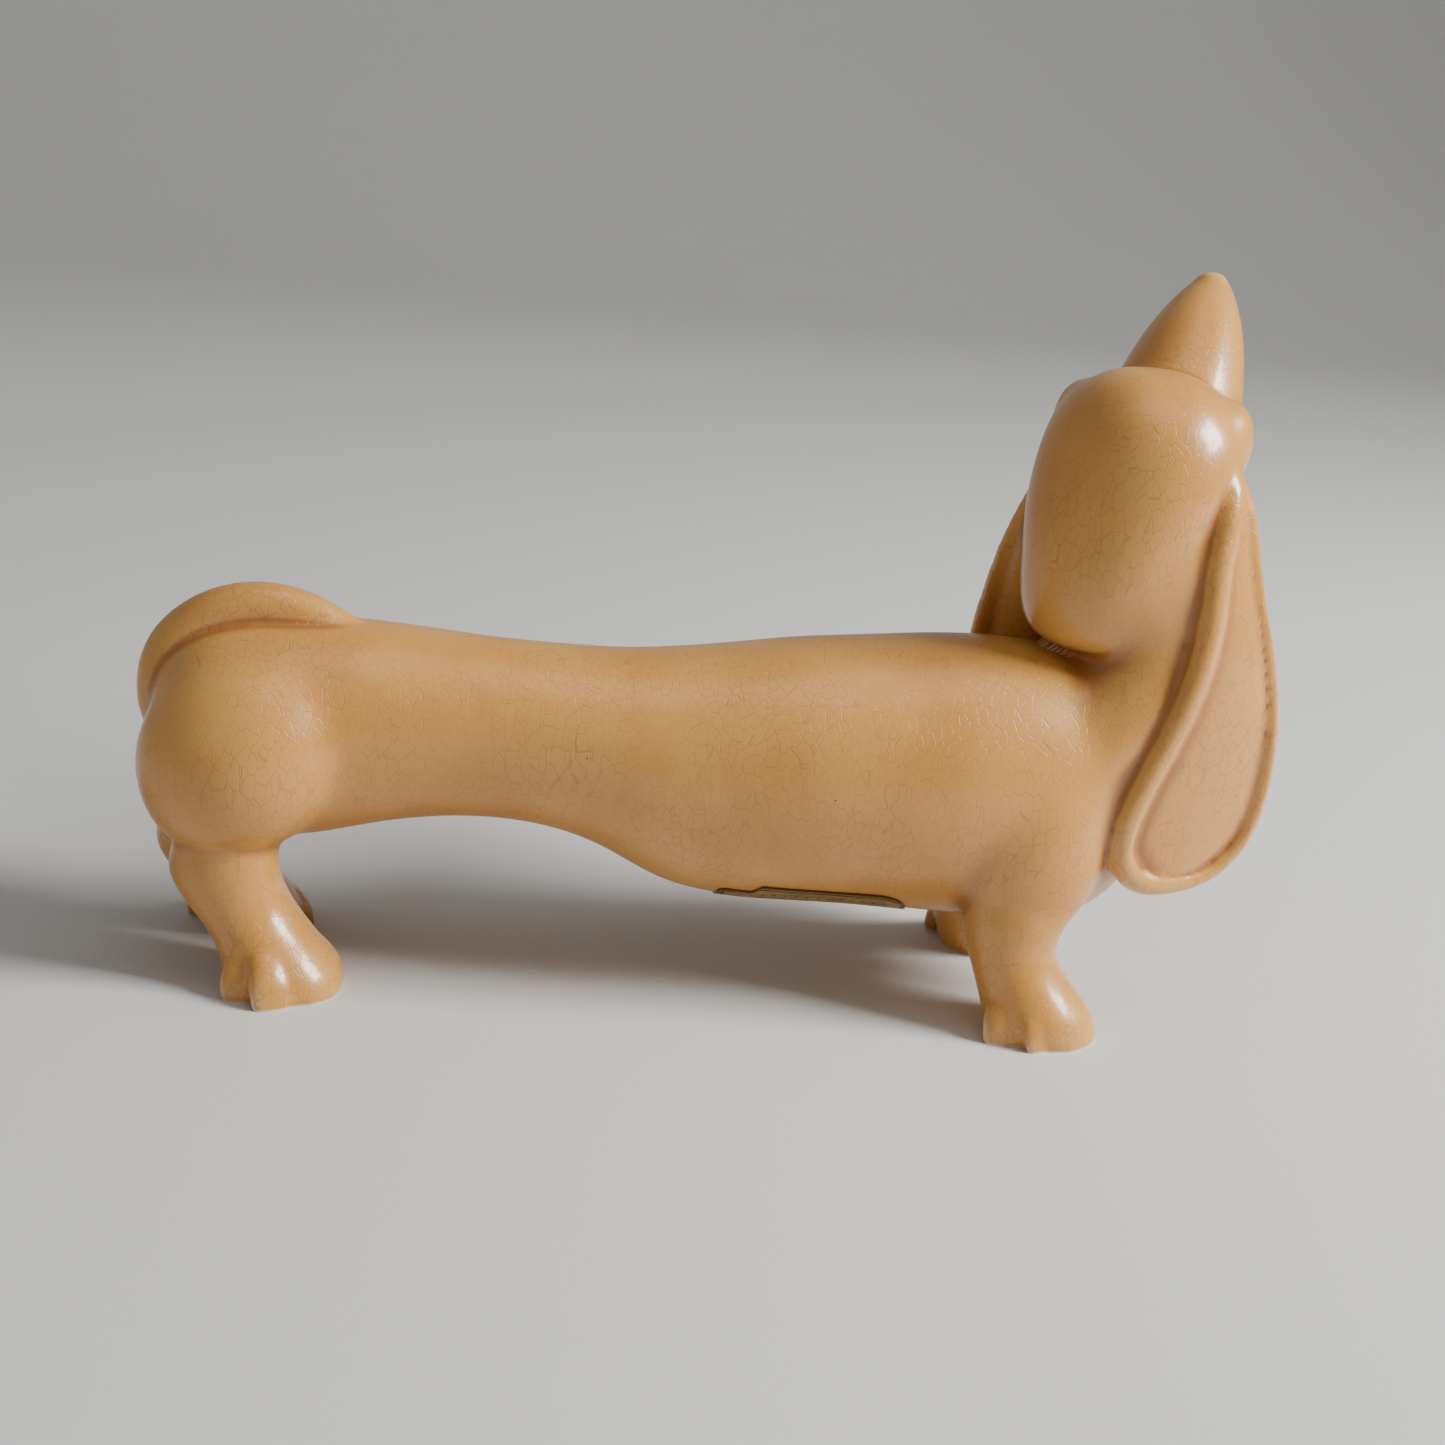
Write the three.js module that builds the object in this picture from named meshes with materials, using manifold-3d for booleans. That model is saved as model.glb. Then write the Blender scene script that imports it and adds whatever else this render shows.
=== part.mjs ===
// Slip-cast ceramic dachshund, standing, with its head turned to its left and raised.
// Millimetres, +Z up, the nose of the trunk along +X, the dog's left along +Y, floor at Z = 0.
// Hollow torso and head, solid ears, tail and lower legs, all luted together, and a foil label under the belly.
import * as THREE from "three";
import { mergeVertices } from "three/addons/utils/BufferGeometryUtils.js";
import Module from "manifold-3d";

const wasm = await Module();
wasm.setup();

// Driving dimensions.
const LEG_SPACING = 146; // hind leg to fore leg, along the body
const HIP_HEIGHT = 48.5; // middle of the rump above the floor
const CHEST_HEIGHT = 44.5; // middle of the chest above the floor
const HIND_STANCE = 9.5; // each hind ankle from the middle line
const HIND_STEP = 5.5; // the left hind leg stands this far behind the right
const FORE_STANCE = 18.5; // each fore ankle from the middle line
const WALL = 3.5; // slip-cast wall of the hollow pieces
const LUTING_GAP = 0.3; // room for the slip that joins two pieces
const AIR_HOLE_RADIUS = 1.75; // lets air out of the hollows in the kiln
const RUMP_HALF = 20;
const WAIST_HALF = 16;
const CHEST_HALF_DEPTH = 26;
const CHEST_HALF_WIDTH = 24;
const NECK_RADIUS = 18.5;
const HEAD_LIFT = 60.5; // middle of the head above the middle of the chest
const HEAD_TURN = 58; // degrees to the dog's left
const SKULL_HALF_WIDTH = 19.5;
const MUZZLE_LENGTH = 45;
const MUZZLE_RISE = 52; // degrees above level
const EAR_DROP = 83; // root to lowest edge
const EAR_HALF_WIDTH = 15;
const EAR_HALF_THICKNESS = 3;
const EAR_DISH = 1.2; // how deeply the lower end of an ear is dished between its rims
const TAIL_RADIUS = 4.5;
const FOOT_HALF_LENGTH = 11.4;
const FOOT_HALF_WIDTH = 10;
const FOOT_REACH = 8.6; // ankle to the middle of the foot
const TOE_RADIUS = 3.6;
const HIND_TOES = [[60, 12.6], [37, 16.6], [2, 18.4], [-28, 19.2]]; // degrees outwards, reach
const FORE_TOES = [[76, 10.8], [40, 13.6], [12, 18], [-14, 19.6]];
const RIGHT_HIND_POINTING = -35; // degrees to the left of ahead
const LEFT_HIND_POINTING = 62;
const FORE_SPLAY = 26; // degrees a fore foot points outwards
const LABEL_LENGTH = 38;
const LABEL_WIDTH = 16;
const LABEL_THICKNESS = 0.35;
const LABEL_LEAN = 20; // degrees from the lowest line of the belly, towards the dog's right

const RIGHT = -1;
const LEFT = 1;
const ACROSS = new THREE.Vector3(0, 1, 0);
const FORWARD = new THREE.Vector3(1, 0, 0);
const DOWN = new THREE.Vector3(0, 0, -1);
const degrees = THREE.MathUtils.degToRad;

// Places: rear() counts from the hips, front() from the middle of the chest between the fore legs.
const rear = (x, y, z) => [x - LEG_SPACING / 2 - 15, y, z + HIP_HEIGHT];
const front = (x, y, z) => [x + LEG_SPACING / 2 - 15, y, z + CHEST_HEIGHT];
const between = (share, y, z) =>
  new THREE.Vector3(...rear(0, y, z)).lerp(new THREE.Vector3(...front(0, y, z)), share).toArray();

// A station of a loft: a centre, and the half sizes across and up there.
const station = (at, wide, tall = wide) => ({ at: new THREE.Vector3(...at), wide, tall });

// The same stations with every half size grown, and the two tips moved out by as much.
function grown(stations, by) {
  const moved = (tip, next) =>
    tip.at.clone().addScaledVector(tip.at.clone().sub(next.at).normalize(), by);
  return stations.map((s, i) => {
    const isTip = s.wide === 0;
    if (!isTip) return { ...s, wide: Math.max(s.wide + by, 0.5), tall: Math.max(s.tall + by, 0.5) };
    return { ...s, at: moved(s, stations[i === 0 ? 1 : i - 1]) };
  });
}

// A closed rounded solid strung along its stations. Squares of the half sizes are interpolated, so an end
// station of no width closes in a round tip. sideways is the direction of wide, from first to last station.
// Sections stand square to the spine, or square to facing where that is given.
function loft(
  stations,
  { around = 24, along = 20, sideways = [ACROSS], facing = null, section = (c, s) => [c, s] } = {},
) {
  const spine = new THREE.CatmullRomCurve3(stations.map((s) => s.at), false, "catmullrom");
  const squares = stations.map((s) => new THREE.Vector3(s.wide ** 2, s.tall ** 2, 0));
  const sizes = new THREE.CatmullRomCurve3(squares, false, "catmullrom");
  const geometry = new THREE.SphereGeometry(1, around, along);
  const position = geometry.getAttribute("position");
  const vertex = new THREE.Vector3();
  for (let i = 0; i < position.count; i += 1) {
    vertex.fromBufferAttribute(position, i);
    const share = (1 - THREE.MathUtils.clamp(vertex.y, -1, 1)) / 2;
    const ring = Math.hypot(vertex.x, vertex.z) || 1;
    const [c, s] = section(vertex.x / ring, vertex.z / ring, share);
    const square = sizes.getPoint(share);
    const tangent = facing ?? spine.getTangent(share);
    const side = sideways[0].clone().lerp(sideways[sideways.length - 1], share);
    side.addScaledVector(tangent, -side.dot(tangent)).normalize();
    const up = tangent.clone().cross(side);
    vertex
      .copy(spine.getPoint(share))
      .addScaledVector(side, c * Math.sqrt(Math.max(square.x, 0)))
      .addScaledVector(up, s * Math.sqrt(Math.max(square.y, 0)));
    position.setXYZ(i, vertex.x, vertex.y, vertex.z);
  }
  return geometry;
}

// A three.js geometry as a manifold solid, and back.
function solid(geometry) {
  const bare = geometry.clone();
  bare.deleteAttribute("normal");
  bare.deleteAttribute("uv");
  const merged = mergeVertices(bare, 1e-4);
  return new wasm.Manifold(
    new wasm.Mesh({
      numProp: 3,
      vertProperties: merged.getAttribute("position").array,
      triVerts: new Uint32Array(merged.index.array),
    }),
  );
}
function geometryOf(manifold) {
  const { vertProperties, triVerts } = manifold.getMesh();
  const geometry = new THREE.BufferGeometry();
  geometry.setAttribute("position", new THREE.BufferAttribute(vertProperties, 3));
  geometry.setIndex(new THREE.BufferAttribute(triVerts, 1));
  geometry.computeVertexNormals();
  return geometry;
}
const joined = (solids) => solids.reduce((whole, next) => whole.add(next));

// Torso: trunk, haunches, shoulders and neck, from stations that the cavity and every joint reuse.
const TRUNK = [
  station(rear(-17.5, 0, 2), 0),
  station(rear(-13, 0, 1.5), RUMP_HALF - 8, RUMP_HALF - 6.5),
  station(rear(-6, 0, 0.5), RUMP_HALF - 4, RUMP_HALF - 1.5),
  station(rear(3, 0, 0), RUMP_HALF - 1.5, RUMP_HALF + 0.5),
  station(rear(13, 0, -0.5), RUMP_HALF - 1.5, RUMP_HALF + 1),
  station(between(0.17, 0, 2.2), WAIST_HALF + 0.5, RUMP_HALF - 1.5),
  station(between(0.26, 0, 2.8), WAIST_HALF, WAIST_HALF + 1.2),
  station(between(0.34, 0, 2.8), WAIST_HALF, WAIST_HALF + 0.6),
  station(between(0.42, 0, 2.2), WAIST_HALF + 1, WAIST_HALF + 1.2),
  station(between(0.49, 0, 0.6), WAIST_HALF + 2.5, WAIST_HALF + 2.6),
  station(between(0.56, 0, -2), CHEST_HALF_WIDTH - 4, CHEST_HALF_DEPTH - 3.8),
  station(between(0.64, 0, -2), CHEST_HALF_WIDTH - 2, CHEST_HALF_DEPTH - 1.8),
  station(between(0.73, 0, -0.5), CHEST_HALF_WIDTH - 0.5, CHEST_HALF_DEPTH - 0.6),
  station(front(-26, 0, 1), CHEST_HALF_WIDTH, CHEST_HALF_DEPTH),
  station(front(-12, 0, 1.3), CHEST_HALF_WIDTH, CHEST_HALF_DEPTH + 1.5),
  station(front(3, 0, 1), CHEST_HALF_WIDTH - 0.5, CHEST_HALF_DEPTH + 2),
  station(front(17, 0, -0.5), CHEST_HALF_WIDTH - 2.5, CHEST_HALF_DEPTH + 1.5),
  station(front(28, 0, 0.5), CHEST_HALF_WIDTH - 7, CHEST_HALF_DEPTH - 4),
  station(front(36, 0, 4), 0),
];
const haunch = (side) => [
  station(rear(4.5, side * 6.5, 20), 0),
  station(rear(3, side * 9.5, 11), 10.5, 15),
  station(rear(1.2, side * 11.5, 1), 14, 19.2),
  station(rear(0.6, side * 12, -9), 13.2, 18.4),
  station(rear(-1, side * 11.2, -17), 10, 13.5),
  station(rear(-1.5, side * 10.5, -24), 0),
];
const shoulder = (side) => [
  station(front(8, side * 6.5, 22), 0),
  station(front(8, side * 11.5, 8), 11, 14),
  station(front(8, side * 14.5, -6), 10.5, 14.5),
  station(front(7.5, side * 16.5, -17), 9.3, 12.5),
  station(front(6, side * 17.5, -28), 0),
];
const HEAD_CENTRE = front(24, 4, HEAD_LIFT);
const NECK = [
  station(front(8, 0, -8), 0),
  station(front(11, 0, -5), NECK_RADIUS - 2),
  station(front(17, 0, 8), NECK_RADIUS + 2, NECK_RADIUS + 1),
  station(front(25, 0, 20), NECK_RADIUS - 0.5, NECK_RADIUS - 3),
  station(front(30.5, 0, HEAD_LIFT - 29.5), NECK_RADIUS - 2.5, NECK_RADIUS - 6.5),
  station(front(31.2, 0, HEAD_LIFT - 17.5), NECK_RADIUS - 3, NECK_RADIUS - 6.5),
  station(front(29.5, 0, HEAD_LIFT - 6.5), NECK_RADIUS - 4, NECK_RADIUS - 7),
  station(front(27.5, 0, HEAD_LIFT + 3), 0),
];

// The hollows are never seen, so their lofts have half the rings and sides.
const coarse = ({ around, along, ...rest }) => ({ around: around / 2, along: along / 2, ...rest });
const TRUNK_GRAIN = { around: 28, along: 40, facing: FORWARD };
function torsoSkin(by, grain = (options) => options) {
  const skin = (stations, options) => solid(loft(grown(stations, by), grain(options)));
  return joined([
    skin(TRUNK, TRUNK_GRAIN),
    skin(NECK, { around: 24, along: 18 }),
    ...[RIGHT, LEFT].flatMap((side) => [
      skin(haunch(side), { around: 20, along: 12 }),
      skin(shoulder(side), { around: 16, along: 12 }),
    ]),
  ]);
}

// Head, in its own frame: +X is where the face looks, +Y the dog's left cheek, the origin mid-skull.
const headFrame = new THREE.Matrix4()
  .makeRotationZ(degrees(HEAD_TURN))
  .setPosition(...HEAD_CENTRE);
const SKULL = [
  station([-8, 4, -33], 0),
  station([-8, 4, -28.5], SKULL_HALF_WIDTH - 6, 12),
  station([-7.2, 3.4, -22.5], SKULL_HALF_WIDTH - 3.2, 14.8),
  station([-5.3, 2, -14.5], SKULL_HALF_WIDTH - 1.8, 16.6),
  station([-2.5, 1, -6], SKULL_HALF_WIDTH, 18),
  station([-1, 0, 4], SKULL_HALF_WIDTH + 0.5, 18),
  station([0.5, 0, 13], SKULL_HALF_WIDTH - 1, 17),
  station([2, 0, 19.5], SKULL_HALF_WIDTH - 6, 13),
  station([2, 0, 24], 0),
];
const alongMuzzle = (share) => [
  12 + share * MUZZLE_LENGTH * Math.cos(degrees(MUZZLE_RISE)),
  0,
  2 + share * MUZZLE_LENGTH * Math.sin(degrees(MUZZLE_RISE)),
];
const MUZZLE = [
  station(alongMuzzle(-0.2), 0),
  station(alongMuzzle(0.1), 14, 13.5),
  station(alongMuzzle(0.4), 13, 12),
  station(alongMuzzle(0.7), 9.5, 9),
  station(alongMuzzle(0.88), 5.5),
  station(alongMuzzle(1), 0),
];
const browAt = (side, share) => side * SKULL_HALF_WIDTH * share;
const brow = (side) => [
  station([9, browAt(side, 0.2), 7], 0),
  station([8, browAt(side, 0.5), 9], SKULL_HALF_WIDTH / 2),
  station([6, browAt(side, 0.72), 10], SKULL_HALF_WIDTH / 2),
  station([5, browAt(side, 1.09), 10.5], 0),
];
const headLoft = (stations, by, options) =>
  solid(loft(grown(stations, by), options).applyMatrix4(headFrame));
const headCore = (by, grain = (options) => options) =>
  headLoft(SKULL, by, grain({ around: 24, along: 18 })).add(
    headLoft(MUZZLE, by, grain({ around: 18, along: 12 })),
  );
function headSkin(by) {
  const browOf = (side) =>
    headLoft(brow(side), by, { sideways: [FORWARD], around: 14, along: 10 });
  return joined([headCore(by), browOf(RIGHT), browOf(LEFT)]);
}

// Ears: leaf-shaped slabs, dished on the outside between two raised rims.
const dished = (c, s, share) => [c, s > 0 ? s * (1 - EAR_DISH * share * (1 - c * c)) : s];
const earDrop = (share) => EAR_DROP * share;
function rightEar() {
  const root = front(40, -6, 66);
  const at = (x, y, share) => [root[0] + x, root[1] + y, root[2] - earDrop(share)];
  const stations = [
    station(at(-3.5, 3.5, -0.05), 0),
    station(at(-0.5, -3, 0.07), 4, EAR_HALF_THICKNESS + 0.8),
    station(at(-0.2, -5, 0.19), EAR_HALF_WIDTH - 9, EAR_HALF_THICKNESS),
    station(at(2.4, -7, 0.41), EAR_HALF_WIDTH - 6.4, EAR_HALF_THICKNESS),
    station(at(2.8, -7.8, 0.54), EAR_HALF_WIDTH - 4, EAR_HALF_THICKNESS),
    station(at(1, -8.6, 0.68), EAR_HALF_WIDTH - 1.2, EAR_HALF_THICKNESS),
    station(at(-1.6, -9, 0.83), EAR_HALF_WIDTH, EAR_HALF_THICKNESS),
    station(at(-2.8, -9, 0.93), EAR_HALF_WIDTH - 2, EAR_HALF_THICKNESS),
    station(at(-3.2, -9, 1), 0),
  ];
  const sideways = [new THREE.Vector3(0.91, 0.41, 0), new THREE.Vector3(0.97, 0.26, 0)];
  return loft(stations, { around: 16, along: 22, sideways, section: dished });
}
function leftEar() {
  const root = front(3, 12, 66);
  const at = (x, y, share) => [root[0] + x, root[1] + y, root[2] - earDrop(share)];
  const stations = [
    station(at(9, -5, -0.04), 0),
    station(at(6, -3, 0.07), 4, EAR_HALF_THICKNESS + 0.8),
    station(at(4, 0, 0.25), EAR_HALF_WIDTH - 8, EAR_HALF_THICKNESS),
    station(at(6, 6, 0.45), EAR_HALF_WIDTH - 5.5, EAR_HALF_THICKNESS),
    station(at(9, 14, 0.64), EAR_HALF_WIDTH - 3, EAR_HALF_THICKNESS),
    station(at(12, 17.5, 0.83), EAR_HALF_WIDTH - 1.5, EAR_HALF_THICKNESS),
    station(at(12.8, 18, 0.93), EAR_HALF_WIDTH - 3, EAR_HALF_THICKNESS),
    station(at(13, 18, 1), 0),
  ];
  const sideways = [new THREE.Vector3(-0.33, 0.95, 0), new THREE.Vector3(-1, -0.1, 0)];
  return loft(stations, { around: 16, along: 22, sideways, section: dished });
}

// Tail: from the back of the rump up and forward along the croup.
const TAIL = [
  station(rear(-8, 0, -10), 0),
  station(rear(-15, 0, -2), TAIL_RADIUS * 0.8),
  station(rear(-16, 0, 7), TAIL_RADIUS),
  station(rear(-13.2, 0, 15.6), TAIL_RADIUS),
  station(rear(-5, 0, 21.8), TAIL_RADIUS),
  station(rear(4, 0, 23.3), TAIL_RADIUS),
  station(rear(12, 0, 22.2), TAIL_RADIUS - 0.6),
  station(rear(19, 0, 19.8), TAIL_RADIUS - 2),
  station(rear(26, 0, 17), 0),
];

// A lower leg: a shank from inside the torso that opens into a bell of a foot, and a fan of toes.
function leg(shank, ankle, pointing, side, toes) {
  const outwards = (turn, reach, z) => {
    const angle = degrees(pointing + side * turn);
    return [ankle[0] + Math.cos(angle) * reach, ankle[1] + Math.sin(angle) * reach, z];
  };
  const bell = [
    station(outwards(0, FOOT_REACH * 0.5, 9), FOOT_HALF_WIDTH - 0.8, FOOT_HALF_LENGTH - 1.4),
    station(outwards(0, FOOT_REACH * 0.82, 5), FOOT_HALF_WIDTH, FOOT_HALF_LENGTH - 0.3),
    station(outwards(0, FOOT_REACH, 1.5), FOOT_HALF_WIDTH, FOOT_HALF_LENGTH),
    station(outwards(0, FOOT_REACH, -8), 0),
  ];
  const toeOf = ([turn, reach]) => {
    const angle = degrees(pointing + side * turn);
    const sideways = [new THREE.Vector3(-Math.sin(angle), Math.cos(angle), 0)];
    const stations = [
      station(outwards(turn, reach * 0.3, 10.5), 0),
      station(outwards(turn, reach * 0.62, 6.6), TOE_RADIUS - 0.6),
      station(outwards(turn, reach * 0.86, 3.6), TOE_RADIUS),
      station(outwards(turn, reach, 1), TOE_RADIUS - 0.4),
      station(outwards(turn, reach * 1.1, -4), 0),
    ];
    return solid(loft(stations, { around: 10, along: 8, sideways }));
  };
  const column = loft([...shank, ...bell], { around: 20, along: 20, facing: DOWN });
  return joined([solid(column), ...toes.map(toeOf)]);
}
function hindLeg(side) {
  const y = side * HIND_STANCE;
  const step = side === LEFT ? -HIND_STEP : 0;
  const shank = [
    station(rear(0.5, side * 10.5, -12), 0),
    station(rear(-1.5 + step / 2, side * 10.5, -21.5), 9.3, 9.8),
    station(rear(-1.9 + step, side * 10, -27), 9.2, 10.4),
    station(rear(1.8 + step, y, -33.5), 8.8, 9.6),
  ];
  const pointing = side === LEFT ? LEFT_HIND_POINTING : RIGHT_HIND_POINTING;
  return leg(shank, [rear(4 + step, 0, 0)[0], y, 0], pointing, side, HIND_TOES);
}
function foreLeg(side) {
  const y = side * FORE_STANCE;
  const shank = [
    station(front(7, side * 16.5, -10), 0),
    station(front(6.2, side * 17.5, -20), 9, 11),
    station(front(4.6, side * (FORE_STANCE - 0.5), -26.5), 8.2, 8.3),
    station(front(5.6, side * (FORE_STANCE + 0.5), -31), 8.3, 8.6),
  ];
  return leg(shank, [front(5, 0, 0)[0], y, 0], side * FORE_SPLAY, side, FORE_TOES);
}

// Everything under the floor, which cuts the soles flat.
const underFloor = solid(new THREE.BoxGeometry(600, 300, 40).translate(0, 0, -20));
// An air hole between two points, as a round bar to cut with.
function airHole(from, to) {
  const [a, b] = [new THREE.Vector3(...from), new THREE.Vector3(...to)];
  const bar = new THREE.CylinderGeometry(AIR_HOLE_RADIUS, AIR_HOLE_RADIUS, a.distanceTo(b), 12);
  const upright = new THREE.Vector3(0, 1, 0);
  const turn = new THREE.Quaternion().setFromUnitVectors(upright, b.clone().sub(a).normalize());
  const middle = a.clone().add(b).multiplyScalar(0.5);
  return solid(bar.applyQuaternion(turn).translate(...middle.toArray()));
}
// The band of space just off the belly that the label fills, trimmed to the label's outline.
function label() {
  const outline = new THREE.Shape().absellipse(0, 0, LABEL_LENGTH / 2, LABEL_WIDTH / 2, 0, 2 * Math.PI);
  const prism = new THREE.ExtrudeGeometry(outline, { depth: 40, bevelEnabled: false, curveSegments: 20 })
    .translate(0, 0, -44)
    .rotateX(degrees(-LABEL_LEAN))
    .translate(...front(-34, 0, 2));
  const under = (by) => solid(loft(grown(TRUNK, by), TRUNK_GRAIN));
  return under(LUTING_GAP + LABEL_THICKNESS).intersect(solid(prism)).subtract(under(LUTING_GAP));
}

const torsoRoom = torsoSkin(LUTING_GAP);
const headRoom = headSkin(LUTING_GAP);
const neckHole = airHole(front(26, 0, 20), HEAD_CENTRE);
const bellyHole = airHole(between(0.4, 0, -30), between(0.4, 0, 0));
const torsoHollow = torsoSkin(-WALL, coarse).subtract(headSkin(WALL + LUTING_GAP));

const pieces = {
  torso: torsoSkin(0).subtract(headRoom).subtract(torsoHollow).subtract(neckHole).subtract(bellyHole),
  head: headSkin(0).subtract(headCore(-WALL, coarse)).subtract(neckHole),
  right_ear: solid(rightEar()).subtract(headRoom).subtract(torsoRoom),
  left_ear: solid(leftEar()).subtract(headRoom).subtract(torsoRoom),
  tail: solid(loft(TAIL, { around: 12, along: 20 })).subtract(torsoRoom),
  rear_right_leg: hindLeg(RIGHT).subtract(torsoRoom).subtract(underFloor),
  rear_left_leg: hindLeg(LEFT).subtract(torsoRoom).subtract(underFloor),
  front_right_leg: foreLeg(RIGHT).subtract(torsoRoom).subtract(underFloor),
  front_left_leg: foreLeg(LEFT).subtract(torsoRoom).subtract(underFloor),
  belly_label: label(),
};

const finishes = {
  glaze: { color: 0xd2a26a, roughness: 0.18, metalness: 0 },
  foil: { color: 0xb98b3a, roughness: 0.35, metalness: 0.8 },
};
const dachshund = new THREE.Group();
for (const [name, piece] of Object.entries(pieces)) {
  const finish = name === "belly_label" ? finishes.foil : finishes.glaze;
  const mesh = new THREE.Mesh(geometryOf(piece), new THREE.MeshStandardMaterial(finish));
  mesh.name = name;
  dachshund.add(mesh);
}
const extent = new THREE.Box3().setFromObject(dachshund);
const middle = extent.getCenter(new THREE.Vector3());
dachshund.position.set(-middle.x, -middle.y, -extent.min.z);

export default dachshund;
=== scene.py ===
"""Crackle-glazed ceramic dachshund with its head turned aside, modelled over its clay pieces.

The clay is strung forms, fused and softened as glaze softens them, then parted again at the
luted joints.
"""

import logging
import math
from collections.abc import Iterator, Sequence
from contextlib import contextmanager
from dataclasses import dataclass, field
from enum import Enum

import bpy
import numpy as np
from mathutils import Matrix, Vector
from mathutils.bvhtree import BVHTree


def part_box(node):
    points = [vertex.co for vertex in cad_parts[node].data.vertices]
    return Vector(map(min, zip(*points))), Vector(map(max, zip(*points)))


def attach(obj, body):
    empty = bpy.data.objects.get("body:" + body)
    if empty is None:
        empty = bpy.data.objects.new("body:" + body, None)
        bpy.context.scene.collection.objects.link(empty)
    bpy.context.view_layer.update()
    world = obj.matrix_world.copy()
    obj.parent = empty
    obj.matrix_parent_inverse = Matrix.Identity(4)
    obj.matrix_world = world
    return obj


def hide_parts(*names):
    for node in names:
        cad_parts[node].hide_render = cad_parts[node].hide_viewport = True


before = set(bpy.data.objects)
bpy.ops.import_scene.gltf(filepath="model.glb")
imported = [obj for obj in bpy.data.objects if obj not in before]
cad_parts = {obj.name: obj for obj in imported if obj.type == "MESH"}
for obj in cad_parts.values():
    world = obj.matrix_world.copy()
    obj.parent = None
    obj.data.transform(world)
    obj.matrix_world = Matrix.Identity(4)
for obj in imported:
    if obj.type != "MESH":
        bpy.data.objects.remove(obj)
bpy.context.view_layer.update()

MM = 0.001
Point = tuple[float, float, float]
log = logging.getLogger("dachshund")


class Side(Enum):
    """The dog's own left and right, as a sign on Y."""

    RIGHT = -1
    LEFT = 1

    @property
    def word(self) -> str:
        """Returns the side as node names spell it."""
        return self.name.lower()


class Stage(Enum):
    """How far the clay has softened together: grain in mm, rounds of smoothing, regrowth in mm."""

    BODY = (1.2, 34, 0.5)
    MASS = (0.9, 14, 0.2)
    DETAIL = (0.7, 7, 0.14)


# ---------------------------------------------------------------- bench tools


def choose(*objects: bpy.types.Object) -> None:
    """Deselects everything, then selects these objects and makes the first active."""
    if bpy.context.mode != "OBJECT":
        bpy.ops.object.mode_set(mode="OBJECT")
    bpy.ops.object.select_all(action="DESELECT")
    for obj in objects:
        obj.hide_set(False)
        obj.select_set(True)
    bpy.context.view_layer.objects.active = objects[0] if objects else None


@contextmanager
def edit(obj: bpy.types.Object) -> Iterator[None]:
    """Holds an object in edit mode with nothing selected."""
    choose(obj)
    bpy.ops.object.mode_set(mode="EDIT")
    bpy.ops.mesh.select_all(action="DESELECT")
    try:
        yield
    finally:
        bpy.ops.object.mode_set(mode="OBJECT")


def finish_modifier(obj: bpy.types.Object, kind: str, **settings: object) -> None:
    """Adds a modifier, sets it and applies it.

    Args:
        obj: The object to change.
        kind: Blender's name for the modifier type.
        **settings: Properties of the modifier.
    """
    choose(obj)
    bpy.ops.object.modifier_add(type=kind)
    modifier = obj.modifiers[-1]
    for name, value in settings.items():
        setattr(modifier, name, value)
    bpy.ops.object.modifier_apply(modifier=modifier.name)


def fuse(objects: Sequence[bpy.types.Object], name: str) -> bpy.types.Object:
    """Joins objects into the first one.

    Args:
        objects: The objects to join.
        name: The joined object's name.

    Returns:
        The joined object.
    """
    choose(*objects)
    bpy.ops.object.join()
    joined = bpy.context.view_layer.objects.active
    joined.name = name
    return joined


def points_of(obj: bpy.types.Object) -> np.ndarray:
    """Returns an object's vertices as an array of rows."""
    flat = np.empty(len(obj.data.vertices) * 3)
    obj.data.vertices.foreach_get("co", flat)
    return flat.reshape(-1, 3)


def normals_of(obj: bpy.types.Object) -> np.ndarray:
    """Returns an object's vertex normals as an array of rows."""
    flat = np.empty(len(obj.data.vertices) * 3)
    obj.data.vertex_normals.foreach_get("vector", flat)
    return flat.reshape(-1, 3)


def edges_of(obj: bpy.types.Object) -> np.ndarray:
    """Returns an object's edges as an array of vertex pairs."""
    flat = np.empty(len(obj.data.edges) * 2, dtype=np.int64)
    obj.data.edges.foreach_get("vertices", flat)
    return flat.reshape(-1, 2)


def relaxed(values: np.ndarray, edges: np.ndarray, rounds: int) -> np.ndarray:
    """Averages each vertex's value with its neighbours'.

    Args:
        values: One row for each vertex.
        edges: Vertex pairs.
        rounds: How many times to average.

    Returns:
        The averaged rows.
    """
    rows = values.reshape(len(values), -1).astype(float)
    a, b = edges.T
    count = np.bincount(np.concatenate([a, b]), minlength=len(rows))[:, None].clip(1)
    for _ in range(rounds):
        total = np.stack(
            [
                np.bincount(a, column[b], len(rows)) + np.bincount(b, column[a], len(rows))
                for column in rows.T
            ],
            axis=1,
        )
        rows = 0.5 * rows + 0.5 * total / count
    return rows.reshape(values.shape)


# ---------------------------------------------------------------- the dog's stance


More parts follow.
